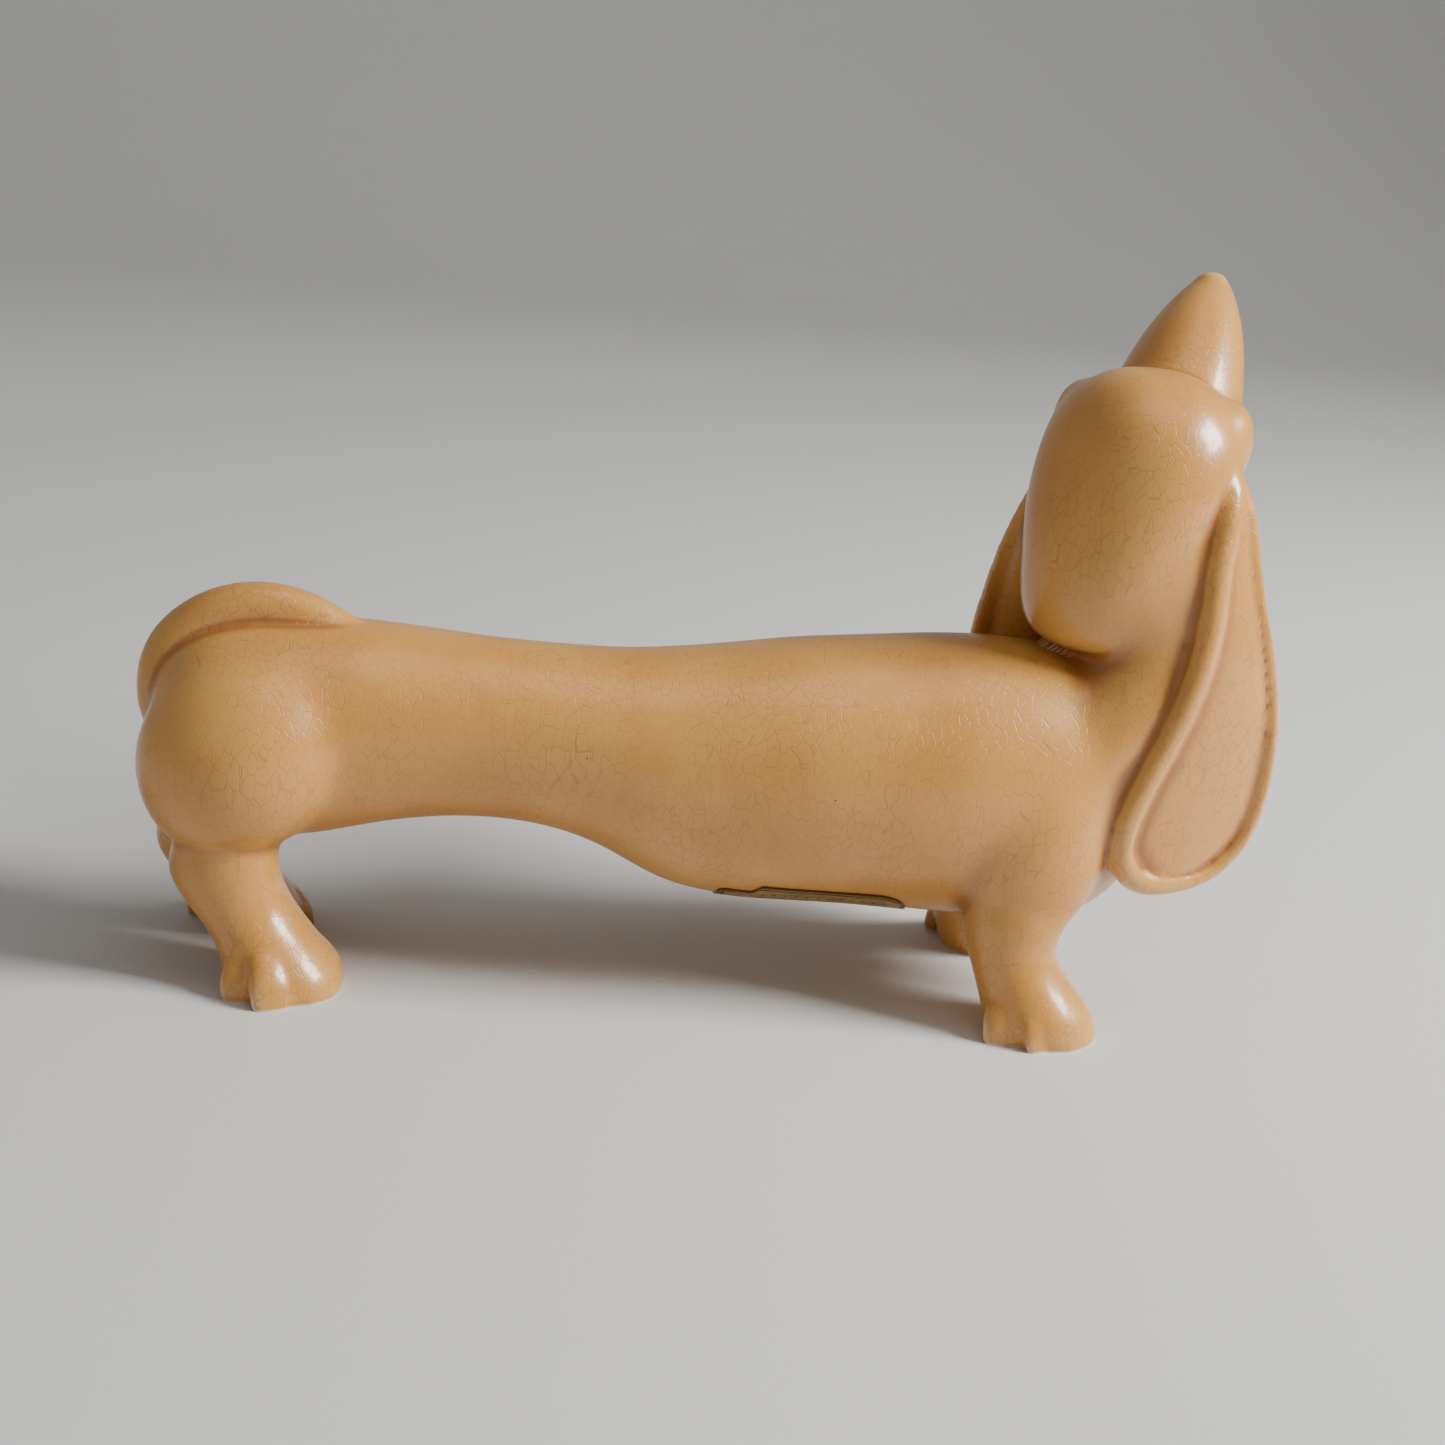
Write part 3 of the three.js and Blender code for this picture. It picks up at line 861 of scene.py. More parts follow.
@dataclass
class Skin:
    """The dog's whole outer surface, fused from the clay forms and parted at the joints."""

    forms: list[Form]
    softenings: list[Softening]
    air_hole: AirHole
    relief_rounds: int = 90
    joint_rounds: int = 10
    nodes: tuple[str, ...] = (
        "torso",
        "head",
        "right_ear",
        "left_ear",
        "tail",
        "rear_right_leg",
        "rear_left_leg",
        "front_right_leg",
        "front_left_leg",
    )

    def fused(self) -> bpy.types.Object:
        """Fuses the forms stage by stage, softening the clay after each.

        Returns:
            The closed skin, cut flat at the floor, with its normals and relief stored.
        """
        skin: bpy.types.Object | None = None
        for stage in Stage:
            grain, rounds, regrowth = stage.value
            built = [form.build() for form in self.forms if form.stage is stage]
            if stage is Stage.DETAIL:
                self.air_hole.cut(skin)
            skin = fuse([skin, *built] if skin else built, "skin")
            finish_modifier(skin, "REMESH", mode="VOXEL", voxel_size=grain * MM, adaptivity=0)
            finish_modifier(skin, "SMOOTH", factor=0.5, iterations=rounds)
            finish_modifier(skin, "DISPLACE", strength=regrowth * MM, mid_level=0)
            for softening in self.softenings:
                if softening.stage is stage:
                    softening.work(skin)
        skin = self._without_pockets(skin)
        self._store(skin)
        self._trim_soles(skin)
        return skin

    def _without_pockets(self, skin: bpy.types.Object) -> bpy.types.Object:
        """Returns the outer surface, without the walls of air pockets shut inside the clay."""
        with edit(skin):
            bpy.ops.mesh.select_all(action="SELECT")
            bpy.ops.mesh.separate(type="LOOSE")
        *pockets, outer = sorted(
            bpy.context.selected_objects, key=lambda shell: len(shell.data.vertices)
        )
        for pocket in pockets:
            log.info("air pocket of %d vertices removed", len(pocket.data.vertices))
            choose(pocket)
            bpy.ops.object.delete()
        return outer

    def _store(self, skin: bpy.types.Object) -> None:
        """Stores each vertex's normal, and how far it stands proud of its surroundings in mm."""
        points, normals = points_of(skin), normals_of(skin)
        edges = edges_of(skin)
        near = relaxed(points, edges, self.relief_rounds)
        far = relaxed(near, edges, self.relief_rounds * 3)
        mesh = skin.data
        for name, smooth in (("relief_fine", near), ("relief_broad", far)):
            proud = np.einsum("ij,ij->i", points - smooth, normals) / MM
            mesh.attributes.new(name, "FLOAT", "POINT").data.foreach_set("value", proud)
        place = mesh.attributes.new("rest_place", "FLOAT_VECTOR", "POINT")
        place.data.foreach_set("vector", points.ravel())
        whole = mesh.attributes.new("whole_normal", "FLOAT_VECTOR", "POINT")
        whole.data.foreach_set("vector", normals.ravel())

    def _trim_soles(self, skin: bpy.types.Object) -> None:
        """Cuts everything under the floor away and closes the soles flat."""
        with edit(skin):
            bpy.ops.mesh.select_all(action="SELECT")
            bpy.ops.mesh.bisect(
                plane_co=(0, 0, 0),
                plane_no=(0, 0, 1),
                use_fill=True,
                clear_inner=True,
                threshold=1e-7,
            )

    def parted(self, skin: bpy.types.Object) -> dict[str, bpy.types.Object]:
        """Parts the skin into one closed shell for each clay piece.

        Args:
            skin: The fused skin.

        Returns:
            The shells by node name.
        """
        skin.data.materials.clear()
        for name in self.nodes:
            skin.data.materials.append(bpy.data.materials.new(f"mark_{name}"))
        skin.data.polygons.foreach_set("material_index", self._owners(skin))
        with edit(skin):
            bpy.ops.mesh.select_all(action="SELECT")
            bpy.ops.mesh.separate(type="MATERIAL")
        shells = {}
        for shell in list(bpy.context.selected_objects):
            mark = shell.data.materials[shell.data.polygons[0].material_index]
            node = mark.name.removeprefix("mark_")
            shell.name = f"{node}_glazed"
            shell.data.materials.clear()
            self._close(shell)
            shells[node] = shell
        return shells

    def _owners(self, skin: bpy.types.Object) -> np.ndarray:
        """Returns, for each face, the number of the clay piece it belongs to."""
        corners: list[Vector] = []
        faces: list[list[int]] = []
        owner: list[int] = []
        for number, name in enumerate(self.nodes):
            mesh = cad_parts[name].data
            start = len(corners)
            corners += [v.co.copy() for v in mesh.vertices]
            faces += [[start + v for v in p.vertices] for p in mesh.polygons]
            owner += [number] * len(mesh.polygons)
        tree = BVHTree.FromPolygons(corners, faces)
        votes = np.zeros((len(skin.data.vertices), len(self.nodes)))
        for index, point in enumerate(points_of(skin)):
            votes[index, owner[tree.find_nearest(Vector(point))[2]]] = 1
        votes = relaxed(votes, edges_of(skin), self.joint_rounds)
        labels = np.array(
            [votes[list(p.vertices)].sum(axis=0).argmax() for p in skin.data.polygons]
        )
        return self._without_islands(skin.data, labels)

    def _without_islands(self, mesh: bpy.types.Mesh, labels: np.ndarray) -> np.ndarray:
        """Gives every stray patch of faces to the piece around it."""
        across: dict[tuple[int, int], list[int]] = {}
        for polygon in mesh.polygons:
            for key in polygon.edge_keys:
                across.setdefault(key, []).append(polygon.index)
        beside: list[list[int]] = [[] for _ in labels]
        for pair in across.values():
            for a in pair:
                beside[a] += [b for b in pair if b != a]
        patch = np.full(len(labels), -1)
        patches: list[list[int]] = []
        for start in range(len(labels)):
            if patch[start] >= 0:
                continue
            members, queue = [], [start]
            patch[start] = len(patches)
            while queue:
                face = queue.pop()
                members.append(face)
                for other in beside[face]:
                    if patch[other] < 0 and labels[other] == labels[face]:
                        patch[other] = len(patches)
                        queue.append(other)
            patches.append(members)
        kept = {}
        for number, members in enumerate(patches):
            label = labels[members[0]]
            if label not in kept or len(members) > len(patches[kept[label]]):
                kept[label] = number
        for number, members in sorted(enumerate(patches), key=lambda item: len(item[1])):
            if number not in kept.values():
                around = [labels[b] for a in members for b in beside[a] if patch[b] != number]
                labels[members] = np.bincount(around).argmax()
        return labels

    def _close(self, shell: bpy.types.Object) -> None:
        """Caps a shell's open rims and gives its skin the whole dog's normals."""
        skin_faces = len(shell.data.polygons)
        with edit(shell):
            bpy.ops.mesh.select_mode(type="EDGE")
            bpy.ops.mesh.select_non_manifold()
            bpy.ops.mesh.extrude_edges_move()
            bpy.ops.mesh.merge(type="COLLAPSE")
            bpy.ops.mesh.select_mode(type="VERT")
            bpy.ops.mesh.select_all(action="SELECT")
            bpy.ops.mesh.normals_make_consistent(inside=False)
        choose(shell)
        bpy.ops.object.shade_smooth()
        mesh = shell.data
        flat = np.empty(len(mesh.vertices) * 3)
        mesh.attributes["whole_normal"].data.foreach_get("vector", flat)
        whole = flat.reshape(-1, 3)
        facing = []
        for polygon in mesh.polygons:
            on_floor = all(mesh.vertices[v].co.z < 0.01 * MM for v in polygon.vertices)
            own = polygon.index >= skin_faces or on_floor
            for vertex in polygon.vertices:
                facing.append(tuple(polygon.normal if own else whole[vertex]))
        mesh.normals_split_custom_set(facing)
        mesh.attributes.remove(mesh.attributes["whole_normal"])


@dataclass
class Label:
    """The foil label stuck along the belly: narrow and stepped behind, round in front."""

    stance: Stance
    length: float = 38.0
    width: float = 16.0
    thickness: float = 0.35
    lean: float = 20.0
    columns: int = 120
    rows: int = 48
    stem_length: float = 0.16
    stem_width: float = 0.62
    shoulder_length: float = 0.06
    nose_length: float = 0.18
    start_below: float = 50.0
    lift: float = 0.04

    def build(self, skin: bpy.types.Object) -> bpy.types.Object:
        """Cuts the foil to shape, wraps it under the belly and gives it its thickness.

        Args:
            skin: The clay to stick it to.

        Returns:
            The finished label.
        """
        choose()
        bpy.ops.mesh.primitive_grid_add(
            x_subdivisions=self.columns, y_subdivisions=self.rows, size=1, calc_uvs=True
        )
        label = bpy.context.view_layer.objects.active
        label.name = "belly_label_foil"
        self._cut(label)
        lean = Matrix.Rotation(math.radians(180 - self.lean), 4, "X")
        middle = self.stance.chest(-34, 0, 2) * MM
        below = Matrix.Translation((0, 0, self.start_below * MM))
        label.data.transform(Matrix.Translation(middle) @ lean @ below)
        self._press(label, skin)
        finish_modifier(
            label, "SOLIDIFY", thickness=self.thickness * MM, offset=1, use_even_offset=True
        )
        choose(label)
        bpy.ops.object.shade_smooth_by_angle(angle=math.radians(50))
        return label

    def _cut(self, label: bpy.types.Object) -> None:
        """Trims the sheet to the label's outline."""
        rows = points_of(label)
        along, across = rows[:, 0] + 0.5, rows[:, 1]
        blend = np.clip((along - self.stem_length) / self.shoulder_length, 0, 1)
        share = self.stem_width + (1 - self.stem_width) * blend * blend * (3 - 2 * blend)
        nose = np.clip((along - 1 + self.nose_length) / self.nose_length, 0, 1)
        share *= np.sqrt(np.clip(1 - nose**2, 0.02, 1))
        tail = np.clip(1 - along / 0.05, 0, 1)
        share *= np.sqrt(np.clip(1 - 0.5 * tail**2, 0, 1))
        rows[:, 0] *= self.length * MM
        rows[:, 1] = across * share * self.width * MM
        label.data.vertices.foreach_set("co", rows.ravel())
        label.data.update()

    def _press(self, label: bpy.types.Object, skin: bpy.types.Object) -> None:
        """Presses the sheet against the clay, straight along its own facing."""
        tree = BVHTree.FromObject(skin, bpy.context.evaluated_depsgraph_get())
        down = -(Matrix.Rotation(math.radians(180 - self.lean), 3, "X") @ Vector((0, 0, 1)))
        for vertex in label.data.vertices:
            hit, normal, _, _ = tree.ray_cast(vertex.co, down)
            vertex.co = hit + normal * self.lift * MM
        label.data.update()


# ---------------------------------------------------------------- finishes


Colour = tuple[float, float, float]
Value = float | tuple[float, ...] | bpy.types.NodeSocket


@dataclass
class Graph:
    """Adds shader nodes to one tree and links them."""

    tree: bpy.types.NodeTree

    def add(self, kind: str, inputs: dict[str | int, Value], **settings: object) -> bpy.types.Node:
        """Adds one node.

        Args:
            kind: Blender's name for the node type.
            inputs: Values or sockets for the node's inputs, by name or place.
            **settings: Properties of the node.

        Returns:
            The node.
        """
        node = self.tree.nodes.new(kind)
        for name, value in settings.items():
            setattr(node, name, value)
        for name, value in inputs.items():
            socket = node.inputs[name]
            if isinstance(value, bpy.types.NodeSocket):
                self.tree.links.new(value, socket)
            else:
                socket.default_value = value
        return node

    def math(self, operation: str, *values: Value) -> bpy.types.NodeSocket:
        """Returns a number worked out from one or more others."""
        node = self.add("ShaderNodeMath", dict(enumerate(values)), operation=operation)
        return node.outputs[0]

    def times(self, first: Value, second: Value) -> bpy.types.NodeSocket:
        """Returns the product of two numbers."""
        return self.math("MULTIPLY", first, second)

    def plus(self, first: Value, second: Value) -> bpy.types.NodeSocket:
        """Returns the sum of two numbers."""
        return self.math("ADD", first, second)

    def less(self, first: Value, second: Value) -> bpy.types.NodeSocket:
        """Returns the first number less the second."""
        return self.math("SUBTRACT", first, second)

    def larger(self, first: Value, second: Value) -> bpy.types.NodeSocket:
        """Returns the larger of two numbers."""
        return self.math("MAXIMUM", first, second)

    def step(self, value: Value, low: float, high: float) -> bpy.types.NodeSocket:
        """Returns a smooth step from 0 at low to 1 at high."""
        inputs = {"Value": value, "From Min": low, "From Max": high}
        node = self.add("ShaderNodeMapRange", inputs, interpolation_type="SMOOTHSTEP")
        return node.outputs[0]

    def mix(self, share: Value, first: Value, second: Value) -> bpy.types.NodeSocket:
        """Returns a colour between two colours."""
        colours = [(*c, 1) if isinstance(c, tuple) and len(c) == 3 else c for c in (first, second)]
        inputs = {0: share, 6: colours[0], 7: colours[1]}
        return self.add("ShaderNodeMix", inputs, data_type="RGBA").outputs[2]

    def noise(self, at: Value, scale: float, detail: float = 2.0) -> bpy.types.NodeSocket:
        """Returns smooth noise about 0.5."""
        inputs = {"Vector": at, "Scale": scale, "Detail": detail}
        return self.add("ShaderNodeTexNoise", inputs).outputs[0]

    def stretched(self, at: Value, factors: Point) -> bpy.types.NodeSocket:
        """Returns a place multiplied axis by axis."""
        inputs = {0: at, 1: factors}
        return self.add("ShaderNodeVectorMath", inputs, operation="MULTIPLY").outputs[0]


def start_group(name: str, inputs: Sequence[str], outputs: Sequence[str]) -> Graph:
    """Starts a shader node group.

    Args:
        name: The group's name.
        inputs: Names of its inputs, where "At" is a place and others are numbers.
        outputs: Names of its number outputs.

    Returns:
        The group's graph, holding its input and output nodes.
    """
    tree = bpy.data.node_groups.new(name, "ShaderNodeTree")
    for title in inputs:
        kind = "NodeSocketVector" if title == "At" else "NodeSocketFloat"
        tree.interface.new_socket(title, in_out="INPUT", socket_type=kind)
    for title in outputs:
        tree.interface.new_socket(title, in_out="OUTPUT", socket_type="NodeSocketFloat")
    return Graph(tree)


@dataclass
class Effects:
    """The shared surface effects, each one node group."""

    craze: bpy.types.NodeTree = field(init=False)
    flow: bpy.types.NodeTree = field(init=False)
    specks: bpy.types.NodeTree = field(init=False)

    def __post_init__(self) -> None:
        """Builds every group once."""
        self.craze = self._craze()
        self.flow = self._flow()
        self.specks = self._specks()

    def _craze(self) -> bpy.types.NodeTree:
        """Returns fine crackle: long upright cells with finer cross cracks inside them."""
        graph = start_group("craze", ["At"], ["Cracks", "Fine cracks"])
        at = graph.add("NodeGroupInput", {}).outputs["At"]
        sway = graph.add(
            "ShaderNodeTexNoise", {"Vector": at, "Scale": 130, "Detail": 2}
        ).outputs["Color"]
        shift = graph.add(
            "ShaderNodeVectorMath", {0: sway, 1: (0.0016, 0.0016, 0.0016)}, operation="MULTIPLY"
        ).outputs[0]
        bent = graph.add("ShaderNodeVectorMath", {0: at, 1: shift}, operation="ADD").outputs[0]
        lines = []
        layers = (((560, 560, 250), 0.010, 0.045), ((760, 760, 620), 0.010, 0.045))
        for factors, crisp, soft in layers:
            cells = graph.add(
                "ShaderNodeTexVoronoi",
                {"Vector": graph.stretched(bent, factors), "Scale": 1.0, "Randomness": 0.9},
                feature="DISTANCE_TO_EDGE",
            )
            lines.append(graph.step(cells.outputs["Distance"], soft, crisp))
        patchy = graph.step(graph.noise(at, 55), 0.3, 0.6)
        broken = graph.times(lines[1], graph.step(graph.noise(at, 210), 0.42, 0.6))
        graph.add(
            "NodeGroupOutput",
            {
                "Cracks": graph.times(lines[0], graph.plus(patchy, 0.35)),
                "Fine cracks": graph.times(broken, patchy),
            },
        )
        return graph.tree

    def _flow(self) -> bpy.types.NodeTree:
        """Returns where the glaze pooled in hollows and where it drew off ridges."""
        graph = start_group("flow", ["At", "Fine", "Broad"], ["Pool", "Thin", "Cloud"])
        given = graph.add("NodeGroupInput", {}).outputs
        cloud = graph.noise(graph.stretched(given["At"], (1, 1, 0.6)), 42, 3)
        wisp = graph.times(graph.less(cloud, 0.5), 0.35)
        fine = graph.plus(given["Fine"], wisp)
        broad = graph.plus(given["Broad"], graph.times(wisp, 2.0))
        pool = graph.larger(graph.step(fine, 0.02, -0.5), graph.step(broad, -0.4, -2.6))
        thin = graph.step(fine, 0.85, 2.1)
        graph.add("NodeGroupOutput", {"Pool": pool, "Thin": thin, "Cloud": cloud})
        return graph.tree

    def _specks(self) -> bpy.types.NodeTree:
        """Returns sparse iron specks and the fine skin of pinholes."""
        graph = start_group("specks", ["At"], ["Specks", "Pinholes"])
        at = graph.add("NodeGroupInput", {}).outputs["At"]
        outputs = {}
        for name, scale, size, rare in (("Specks", 85, 0.022, 0.72), ("Pinholes", 420, 0.09, 0.55)):
            cells = graph.add("ShaderNodeTexVoronoi", {"Vector": at, "Scale": scale})
            spot = graph.step(cells.outputs["Distance"], size, size * 0.5)
            chance = graph.add(
                "ShaderNodeSeparateColor", {"Color": cells.outputs["Color"]}
            ).outputs[0]
            outputs[name] = graph.times(spot, graph.step(chance, rare, rare + 0.02))
        graph.add("NodeGroupOutput", outputs)
        return graph.tree


@dataclass(frozen=True)
class HoneyGlaze:
    """Honey-coloured crackle glaze: cream where it is thin, orange-brown where it pooled."""

    chip_at: Point
    body: Colour = (0.66, 0.325, 0.075)
    cloud: Colour = (0.58, 0.255, 0.048)
    pool: Colour = (0.34, 0.11, 0.02)
    thin: Colour = (0.84, 0.64, 0.42)
    crack: Colour = (0.30, 0.14, 0.045)
    speck: Colour = (0.05, 0.03, 0.02)
    biscuit: Colour = (0.74, 0.60, 0.44)
    bare: Colour = (0.10, 0.055, 0.03)
    roughness: float = 0.27

    def material(self, effects: Effects) -> bpy.types.Material:
        """Builds the glaze.

        Args:
            effects: The shared effects.

        Returns:
            The material.
        """
        material = bpy.data.materials.new("honey_crackle_glaze")
        material.use_nodes = True
        tree = material.node_tree
        shader = tree.nodes["Principled BSDF"]
        graph = Graph(tree)
        at = graph.add("ShaderNodeAttribute", {}, attribute_name="rest_place").outputs["Vector"]
        fine = graph.add("ShaderNodeAttribute", {}, attribute_name="relief_fine").outputs["Fac"]
        broad = graph.add("ShaderNodeAttribute", {}, attribute_name="relief_broad").outputs["Fac"]
        craze = graph.add("ShaderNodeGroup", {}, node_tree=effects.craze)
        flow = graph.add("ShaderNodeGroup", {}, node_tree=effects.flow)
        specks = graph.add("ShaderNodeGroup", {}, node_tree=effects.specks)
        for node in (craze, flow, specks):
            tree.links.new(at, node.inputs["At"])
        tree.links.new(fine, flow.inputs["Fine"])
        tree.links.new(broad, flow.inputs["Broad"])
        cracks, fine_cracks = craze.outputs
        pool, thin, cloud = flow.outputs

        colour = graph.mix(graph.step(cloud, 0.35, 0.72), self.body, self.cloud)
        colour = graph.mix(graph.times(pool, 0.85), colour, self.pool)
        colour = graph.mix(graph.times(thin, 0.8), colour, self.thin)
        colour = graph.mix(graph.times(cracks, 0.3), colour, self.crack)
        colour = graph.mix(graph.times(fine_cracks, 0.18), colour, self.crack)
        colour = graph.mix(specks.outputs["Specks"], colour, self.speck)
        height = graph.add("ShaderNodeSeparateXYZ", {0: at}).outputs[2]
        ragged = graph.times(graph.noise(at, 600), 0.0004)
        foot = graph.step(graph.less(height, ragged), 0.0004, -0.0001)
        colour = graph.mix(foot, colour, self.biscuit)
        away = graph.add(
            "ShaderNodeVectorMath", {0: at, 1: self.chip_at}, operation="DISTANCE"
        ).outputs["Value"]
        chipped = graph.plus(away, graph.times(graph.noise(at, 900), 0.0014))
        chip = graph.step(chipped, 0.0023, 0.0018)
        colour = graph.mix(chip, colour, self.bare)
        tree.links.new(colour, shader.inputs["Base Color"])

        rough = graph.plus(self.roughness, graph.times(cloud, 0.06))
        rough = graph.plus(rough, graph.times(cracks, 0.08))
        rough = graph.larger(rough, graph.times(foot, 0.75))
        rough = graph.larger(rough, graph.times(chip, 0.8))
        tree.links.new(rough, shader.inputs["Roughness"])

        ripple = graph.times(graph.noise(at, 320, 2), 0.5)
        grain = graph.times(graph.noise(at, 2600, 1), 0.10)
        level = graph.plus(ripple, grain)
        level = graph.less(level, graph.times(cracks, 0.42))
        level = graph.less(level, graph.times(fine_cracks, 0.15))
        level = graph.less(level, specks.outputs["Pinholes"])
        level = graph.less(level, graph.times(chip, 3.0))
        bump = graph.add("ShaderNodeBump", {"Height": level, "Strength": 0.55, "Distance": 0.00009})
        tree.links.new(bump.outputs[0], shader.inputs["Normal"])
        shader.inputs["Specular IOR Level"].default_value = 0.5
        shader.inputs["Coat Weight"].default_value = 0.35
        shader.inputs["Coat Roughness"].default_value = 0.12
        return material


@dataclass(frozen=True)
class PrintedFoil:
    """Gold foil with a dark ruled border and a band of plain lozenges and dots."""

    gold: Colour = (0.62, 0.42, 0.15)
    worn: Colour = (0.30, 0.19, 0.07)
    ink: Colour = (0.035, 0.025, 0.02)
    stain: Colour = (0.16, 0.075, 0.03)
    length: float = 38.0
    width: float = 16.0

    def material(self) -> bpy.types.Material:
        """Builds the foil from the label's own flat coordinates.

        Returns:
            The material.
        """
        material = bpy.data.materials.new("printed_foil")
        material.use_nodes = True
        tree = material.node_tree
        shader = tree.nodes["Principled BSDF"]
        graph = Graph(tree)
        uv = graph.add("ShaderNodeUVMap", {}, uv_map="UVMap").outputs[0]
        u, v, _ = graph.add("ShaderNodeSeparateXYZ", {0: uv}).outputs
        along = graph.times(u, self.length)
        across = graph.times(graph.math("ABSOLUTE", graph.less(v, 0.5)), self.width)
        end = graph.math("MINIMUM", along, graph.less(self.length, along))
        edge = graph.math("MINIMUM", end, graph.less(self.width / 2, across))
        rule = graph.times(graph.step(edge, 0.75, 0.85), graph.step(edge, 1.35, 1.25))
        cell = graph.math("PINGPONG", along, 2.2)
        lozenge = graph.plus(cell, graph.times(across, 0.7))
        inside = graph.step(end, 4.0, 4.1)
        band = graph.times(graph.step(lozenge, 1.35, 1.25), inside)
        band = graph.times(band, graph.step(lozenge, 0.55, 0.65))
        dot_row = graph.math("ABSOLUTE", graph.less(across, 4.2))
        dot_cell = graph.math("PINGPONG", along, 1.1)
        square = graph.plus(graph.times(dot_row, dot_row), graph.times(dot_cell, dot_cell))
        dot = graph.math("SQRT", square)
        dots = graph.times(graph.step(dot, 0.42, 0.34), inside)
        printed = graph.larger(graph.larger(rule, band), dots)
        rub = graph.step(graph.noise(uv, 9, 5), 0.38, 0.62)
        scuff = graph.step(graph.noise(uv, 42, 3), 0.52, 0.72)
        fringe = graph.step(graph.plus(edge, graph.times(scuff, 0.4)), 0.75, 0.3)
        colour = graph.mix(graph.times(rub, 0.6), self.gold, self.worn)
        colour = graph.mix(fringe, colour, self.stain)
        kept = graph.times(printed, graph.less(1.0, graph.times(scuff, 0.35)))
        colour = graph.mix(kept, colour, self.ink)
        tree.links.new(colour, shader.inputs["Base Color"])
        rough = graph.plus(0.32, graph.times(scuff, 0.25))
        tree.links.new(rough, shader.inputs["Roughness"])
        creases = graph.plus(graph.noise(uv, 26, 4), graph.times(kept, 0.15))
        bump = graph.add("ShaderNodeBump", {"Height": creases, "Strength": 0.5, "Distance": 0.0002})
        tree.links.new(bump.outputs[0], shader.inputs["Normal"])
        shader.inputs["Metallic"].default_value = 0.75
        return material


# ---------------------------------------------------------------- studio


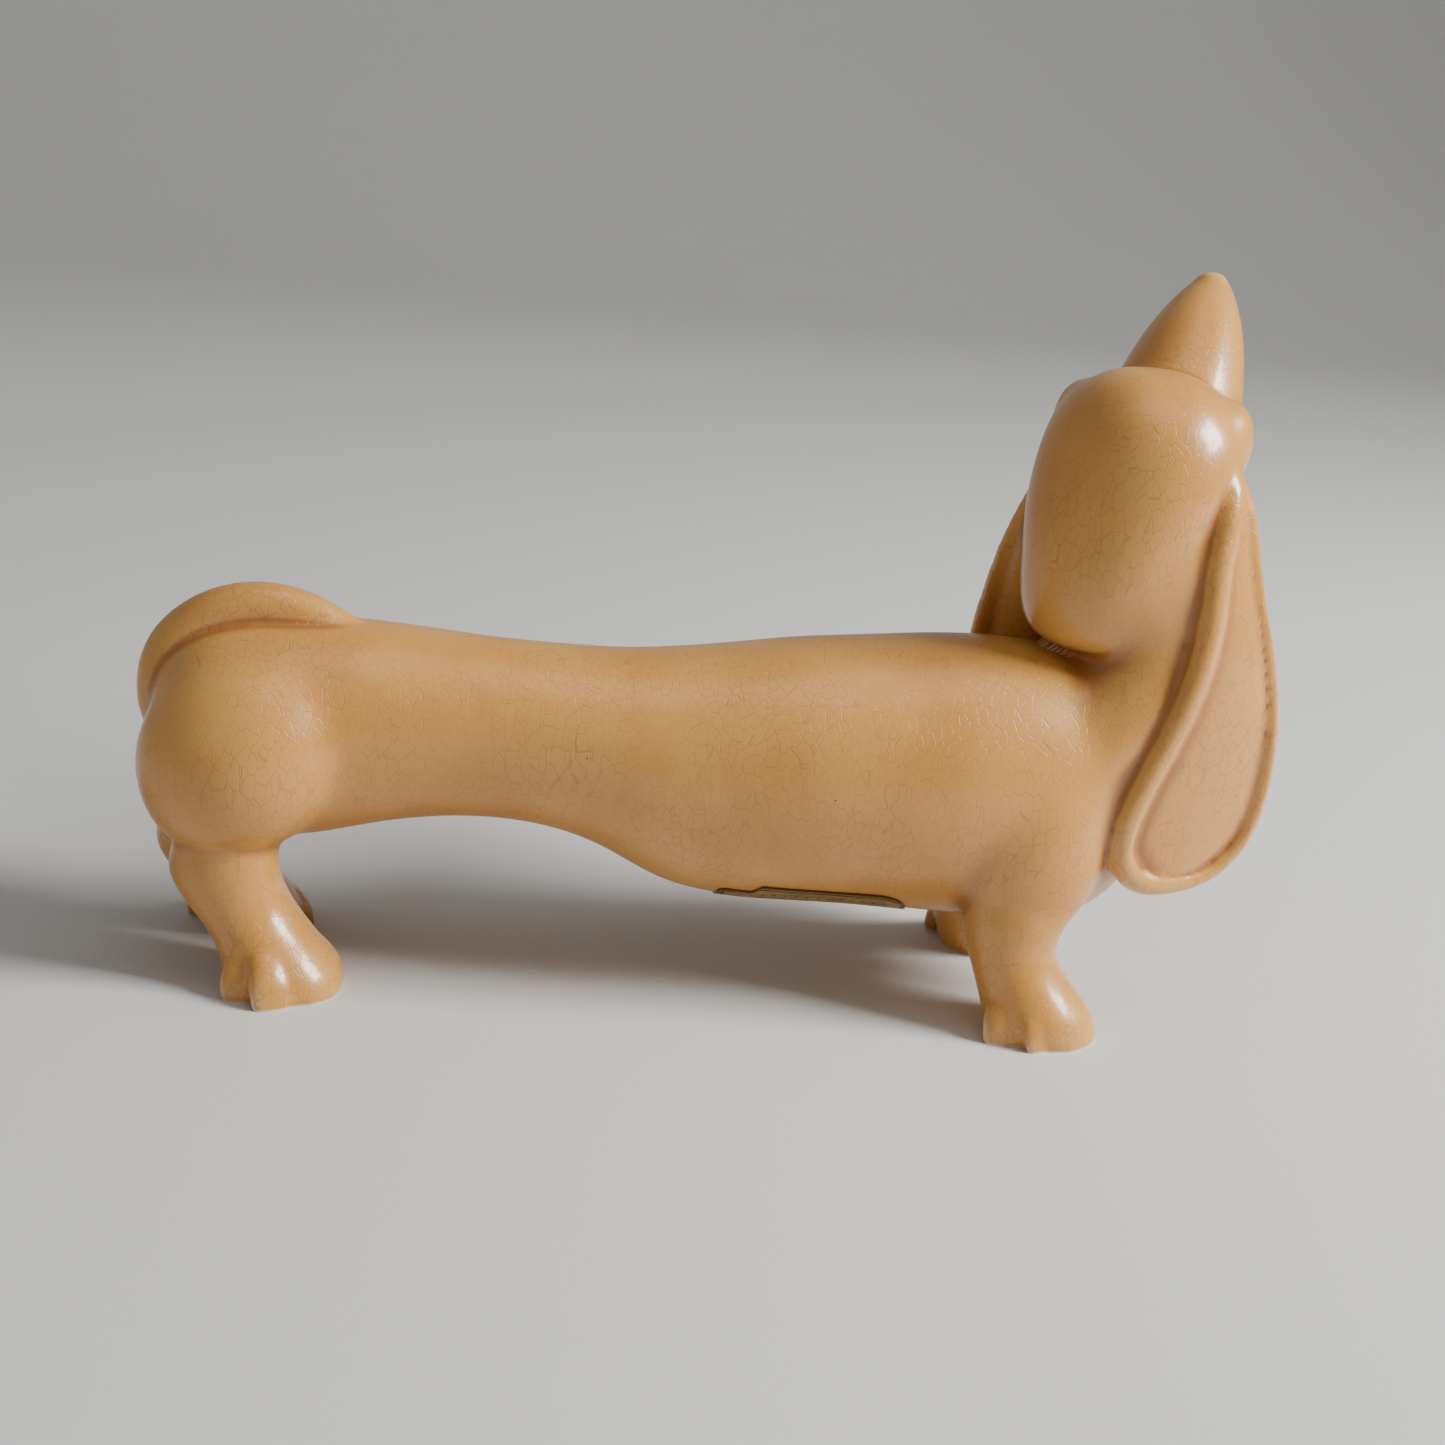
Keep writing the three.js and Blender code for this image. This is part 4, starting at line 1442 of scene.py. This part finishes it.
@dataclass(frozen=True)
class Studio:
    """A pale sweep of floor, soft lights and the camera."""

    target: Vector
    azimuth: float = -8.6
    elevation: float = 17.3
    roll: float = 5.8
    distance: float = 0.410
    lens: float = 54.8
    sheet_half: float = 2.0

    def build(self) -> None:
        """Lays the floor and sets the lights and the camera."""
        self._floor()
        self._lights()
        self._camera()

    def _floor(self) -> None:
        """Lays a pale sheet that sweeps up behind the dog."""
        choose()
        bpy.ops.mesh.primitive_plane_add(size=2 * self.sheet_half, location=(0, 0, 0))
        floor = bpy.context.view_layer.objects.active
        floor.name = "floor"
        with edit(floor):
            bpy.ops.mesh.select_all(action="SELECT")
            bpy.ops.mesh.subdivide(number_cuts=1)
        corners = floor.data.vertices
        for side in floor.data.edges:
            if all(corners[v].co.y > 0.95 * self.sheet_half for v in side.vertices):
                side.select = True
        choose(floor)
        bpy.ops.object.mode_set(mode="EDIT")
        bpy.ops.mesh.select_mode(type="EDGE")
        bpy.ops.mesh.extrude_region_move(TRANSFORM_OT_translate={"value": (0, 0, self.sheet_half)})
        bpy.ops.object.mode_set(mode="OBJECT")
        finish_modifier(
            floor, "BEVEL", width=0.9, segments=16, limit_method="ANGLE", angle_limit=1.0
        )
        choose(floor)
        bpy.ops.object.shade_smooth()
        floor.data.materials.append(self._sheet())

    def _sheet(self) -> bpy.types.Material:
        """Returns the pale sheet's material."""
        material = bpy.data.materials.new("pale_sheet")
        material.use_nodes = True
        shader = material.node_tree.nodes["Principled BSDF"]
        shader.inputs["Base Color"].default_value = (0.66, 0.66, 0.655, 1)
        shader.inputs["Roughness"].default_value = 0.75
        return material

    def _area(self, name: str, at: Point, size: float, watts: float, tint: Point) -> None:
        """Hangs one soft square light that looks at the dog."""
        bpy.ops.object.light_add(type="AREA", location=at)
        lamp = bpy.context.view_layer.objects.active
        lamp.name = name
        lamp.data.size = size
        lamp.data.energy = watts
        lamp.data.color = tint
        towards = Vector((0, 0, 0.06)) - Vector(at)
        lamp.rotation_euler = towards.to_track_quat("-Z", "Y").to_euler()

    def _lights(self) -> None:
        """Hangs a key before the dog, a weak fill beside the camera and a soft sky."""
        self._area("key", (0.88, -0.22, 0.66), 0.4, 23, (1, 0.985, 0.96))
        self._area("fill", (-0.5, -1.1, 0.7), 0.9, 0.5, (0.96, 0.98, 1))
        self._area("top", (0.15, -0.2, 1.2), 0.7, 1.5, (1, 1, 1))
        world = bpy.data.worlds.new("soft_room")
        bpy.context.scene.world = world
        world.use_nodes = True
        sky = world.node_tree.nodes["Background"]
        sky.inputs["Color"].default_value = (0.9, 0.93, 1, 1)
        sky.inputs["Strength"].default_value = 0.085

    def _camera(self) -> None:
        """Stands the camera to the dog's right, a little behind and above."""
        a, e = math.radians(self.azimuth), math.radians(self.elevation)
        back = Vector((math.sin(a) * math.cos(e), -math.cos(a) * math.cos(e), math.sin(e)))
        bpy.ops.object.camera_add(location=self.target + back * self.distance)
        camera = bpy.context.view_layer.objects.active
        camera.name = "camera"
        turn = (-back).to_track_quat("-Z", "Y").to_matrix()
        roll = Matrix.Rotation(math.radians(self.roll), 3, "Z")
        camera.rotation_euler = (turn @ roll).to_euler()
        camera.data.lens = self.lens
        camera.data.sensor_width = 36
        bpy.context.scene.camera = camera


def hand_over(piece: bpy.types.Object, node: str, finish: bpy.types.Material) -> None:
    """Dresses a finished piece and hands it to the frame.

    Args:
        piece: The piece.
        node: The clay node it replaces.
        finish: Its material.
    """
    piece.data.materials.clear()
    piece.data.materials.append(finish)
    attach(piece, "root")
    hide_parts(node)
    log.info("%s: %d faces", piece.name, len(piece.data.polygons))


def main() -> None:
    """Builds the dog and the studio, piece by piece."""
    logging.basicConfig(level=logging.INFO, format="%(name)s: %(message)s")
    stance = Stance()
    parts = [Trunk(stance), Head(stance), Tail(stance)]
    for side in Side:
        parts += [Ear(stance, side), Leg(stance, side, hind=True), Leg(stance, side, hind=False)]
    forms = [form for part in parts for form in part.forms()]
    log.info("%d clay forms", len(forms))

    softenings = [
        Softening(stance.chest(32, -14, 42), 20, 90),
        Softening(stance.chest(30, -14, 36), 15, 160),
        Softening(stance.chest(36, 4, 36), 18, 60),
        Softening(stance.chest(38.5, -10, 65.5), 8, 14, Stage.DETAIL),
        Softening(stance.chest(9, 9, 65.5), 8, 14, Stage.DETAIL),
    ]
    skin = Skin(forms, softenings, AirHole(stance.between(0.4, -15)))
    whole = skin.fused()
    label = Label(stance).build(whole)
    chip = stance.chest(4.8, -32.3, -43.3) * MM
    glaze = HoneyGlaze(chip_at=tuple(chip)).material(Effects())
    for node, shell in skin.parted(whole).items():
        hand_over(shell, node, glaze)
    hand_over(label, "belly_label", PrintedFoil().material())

    Studio(stance.chest(-56.6, -20.1, 15.2) * MM).build()


if __name__ == "__main__":
    main()
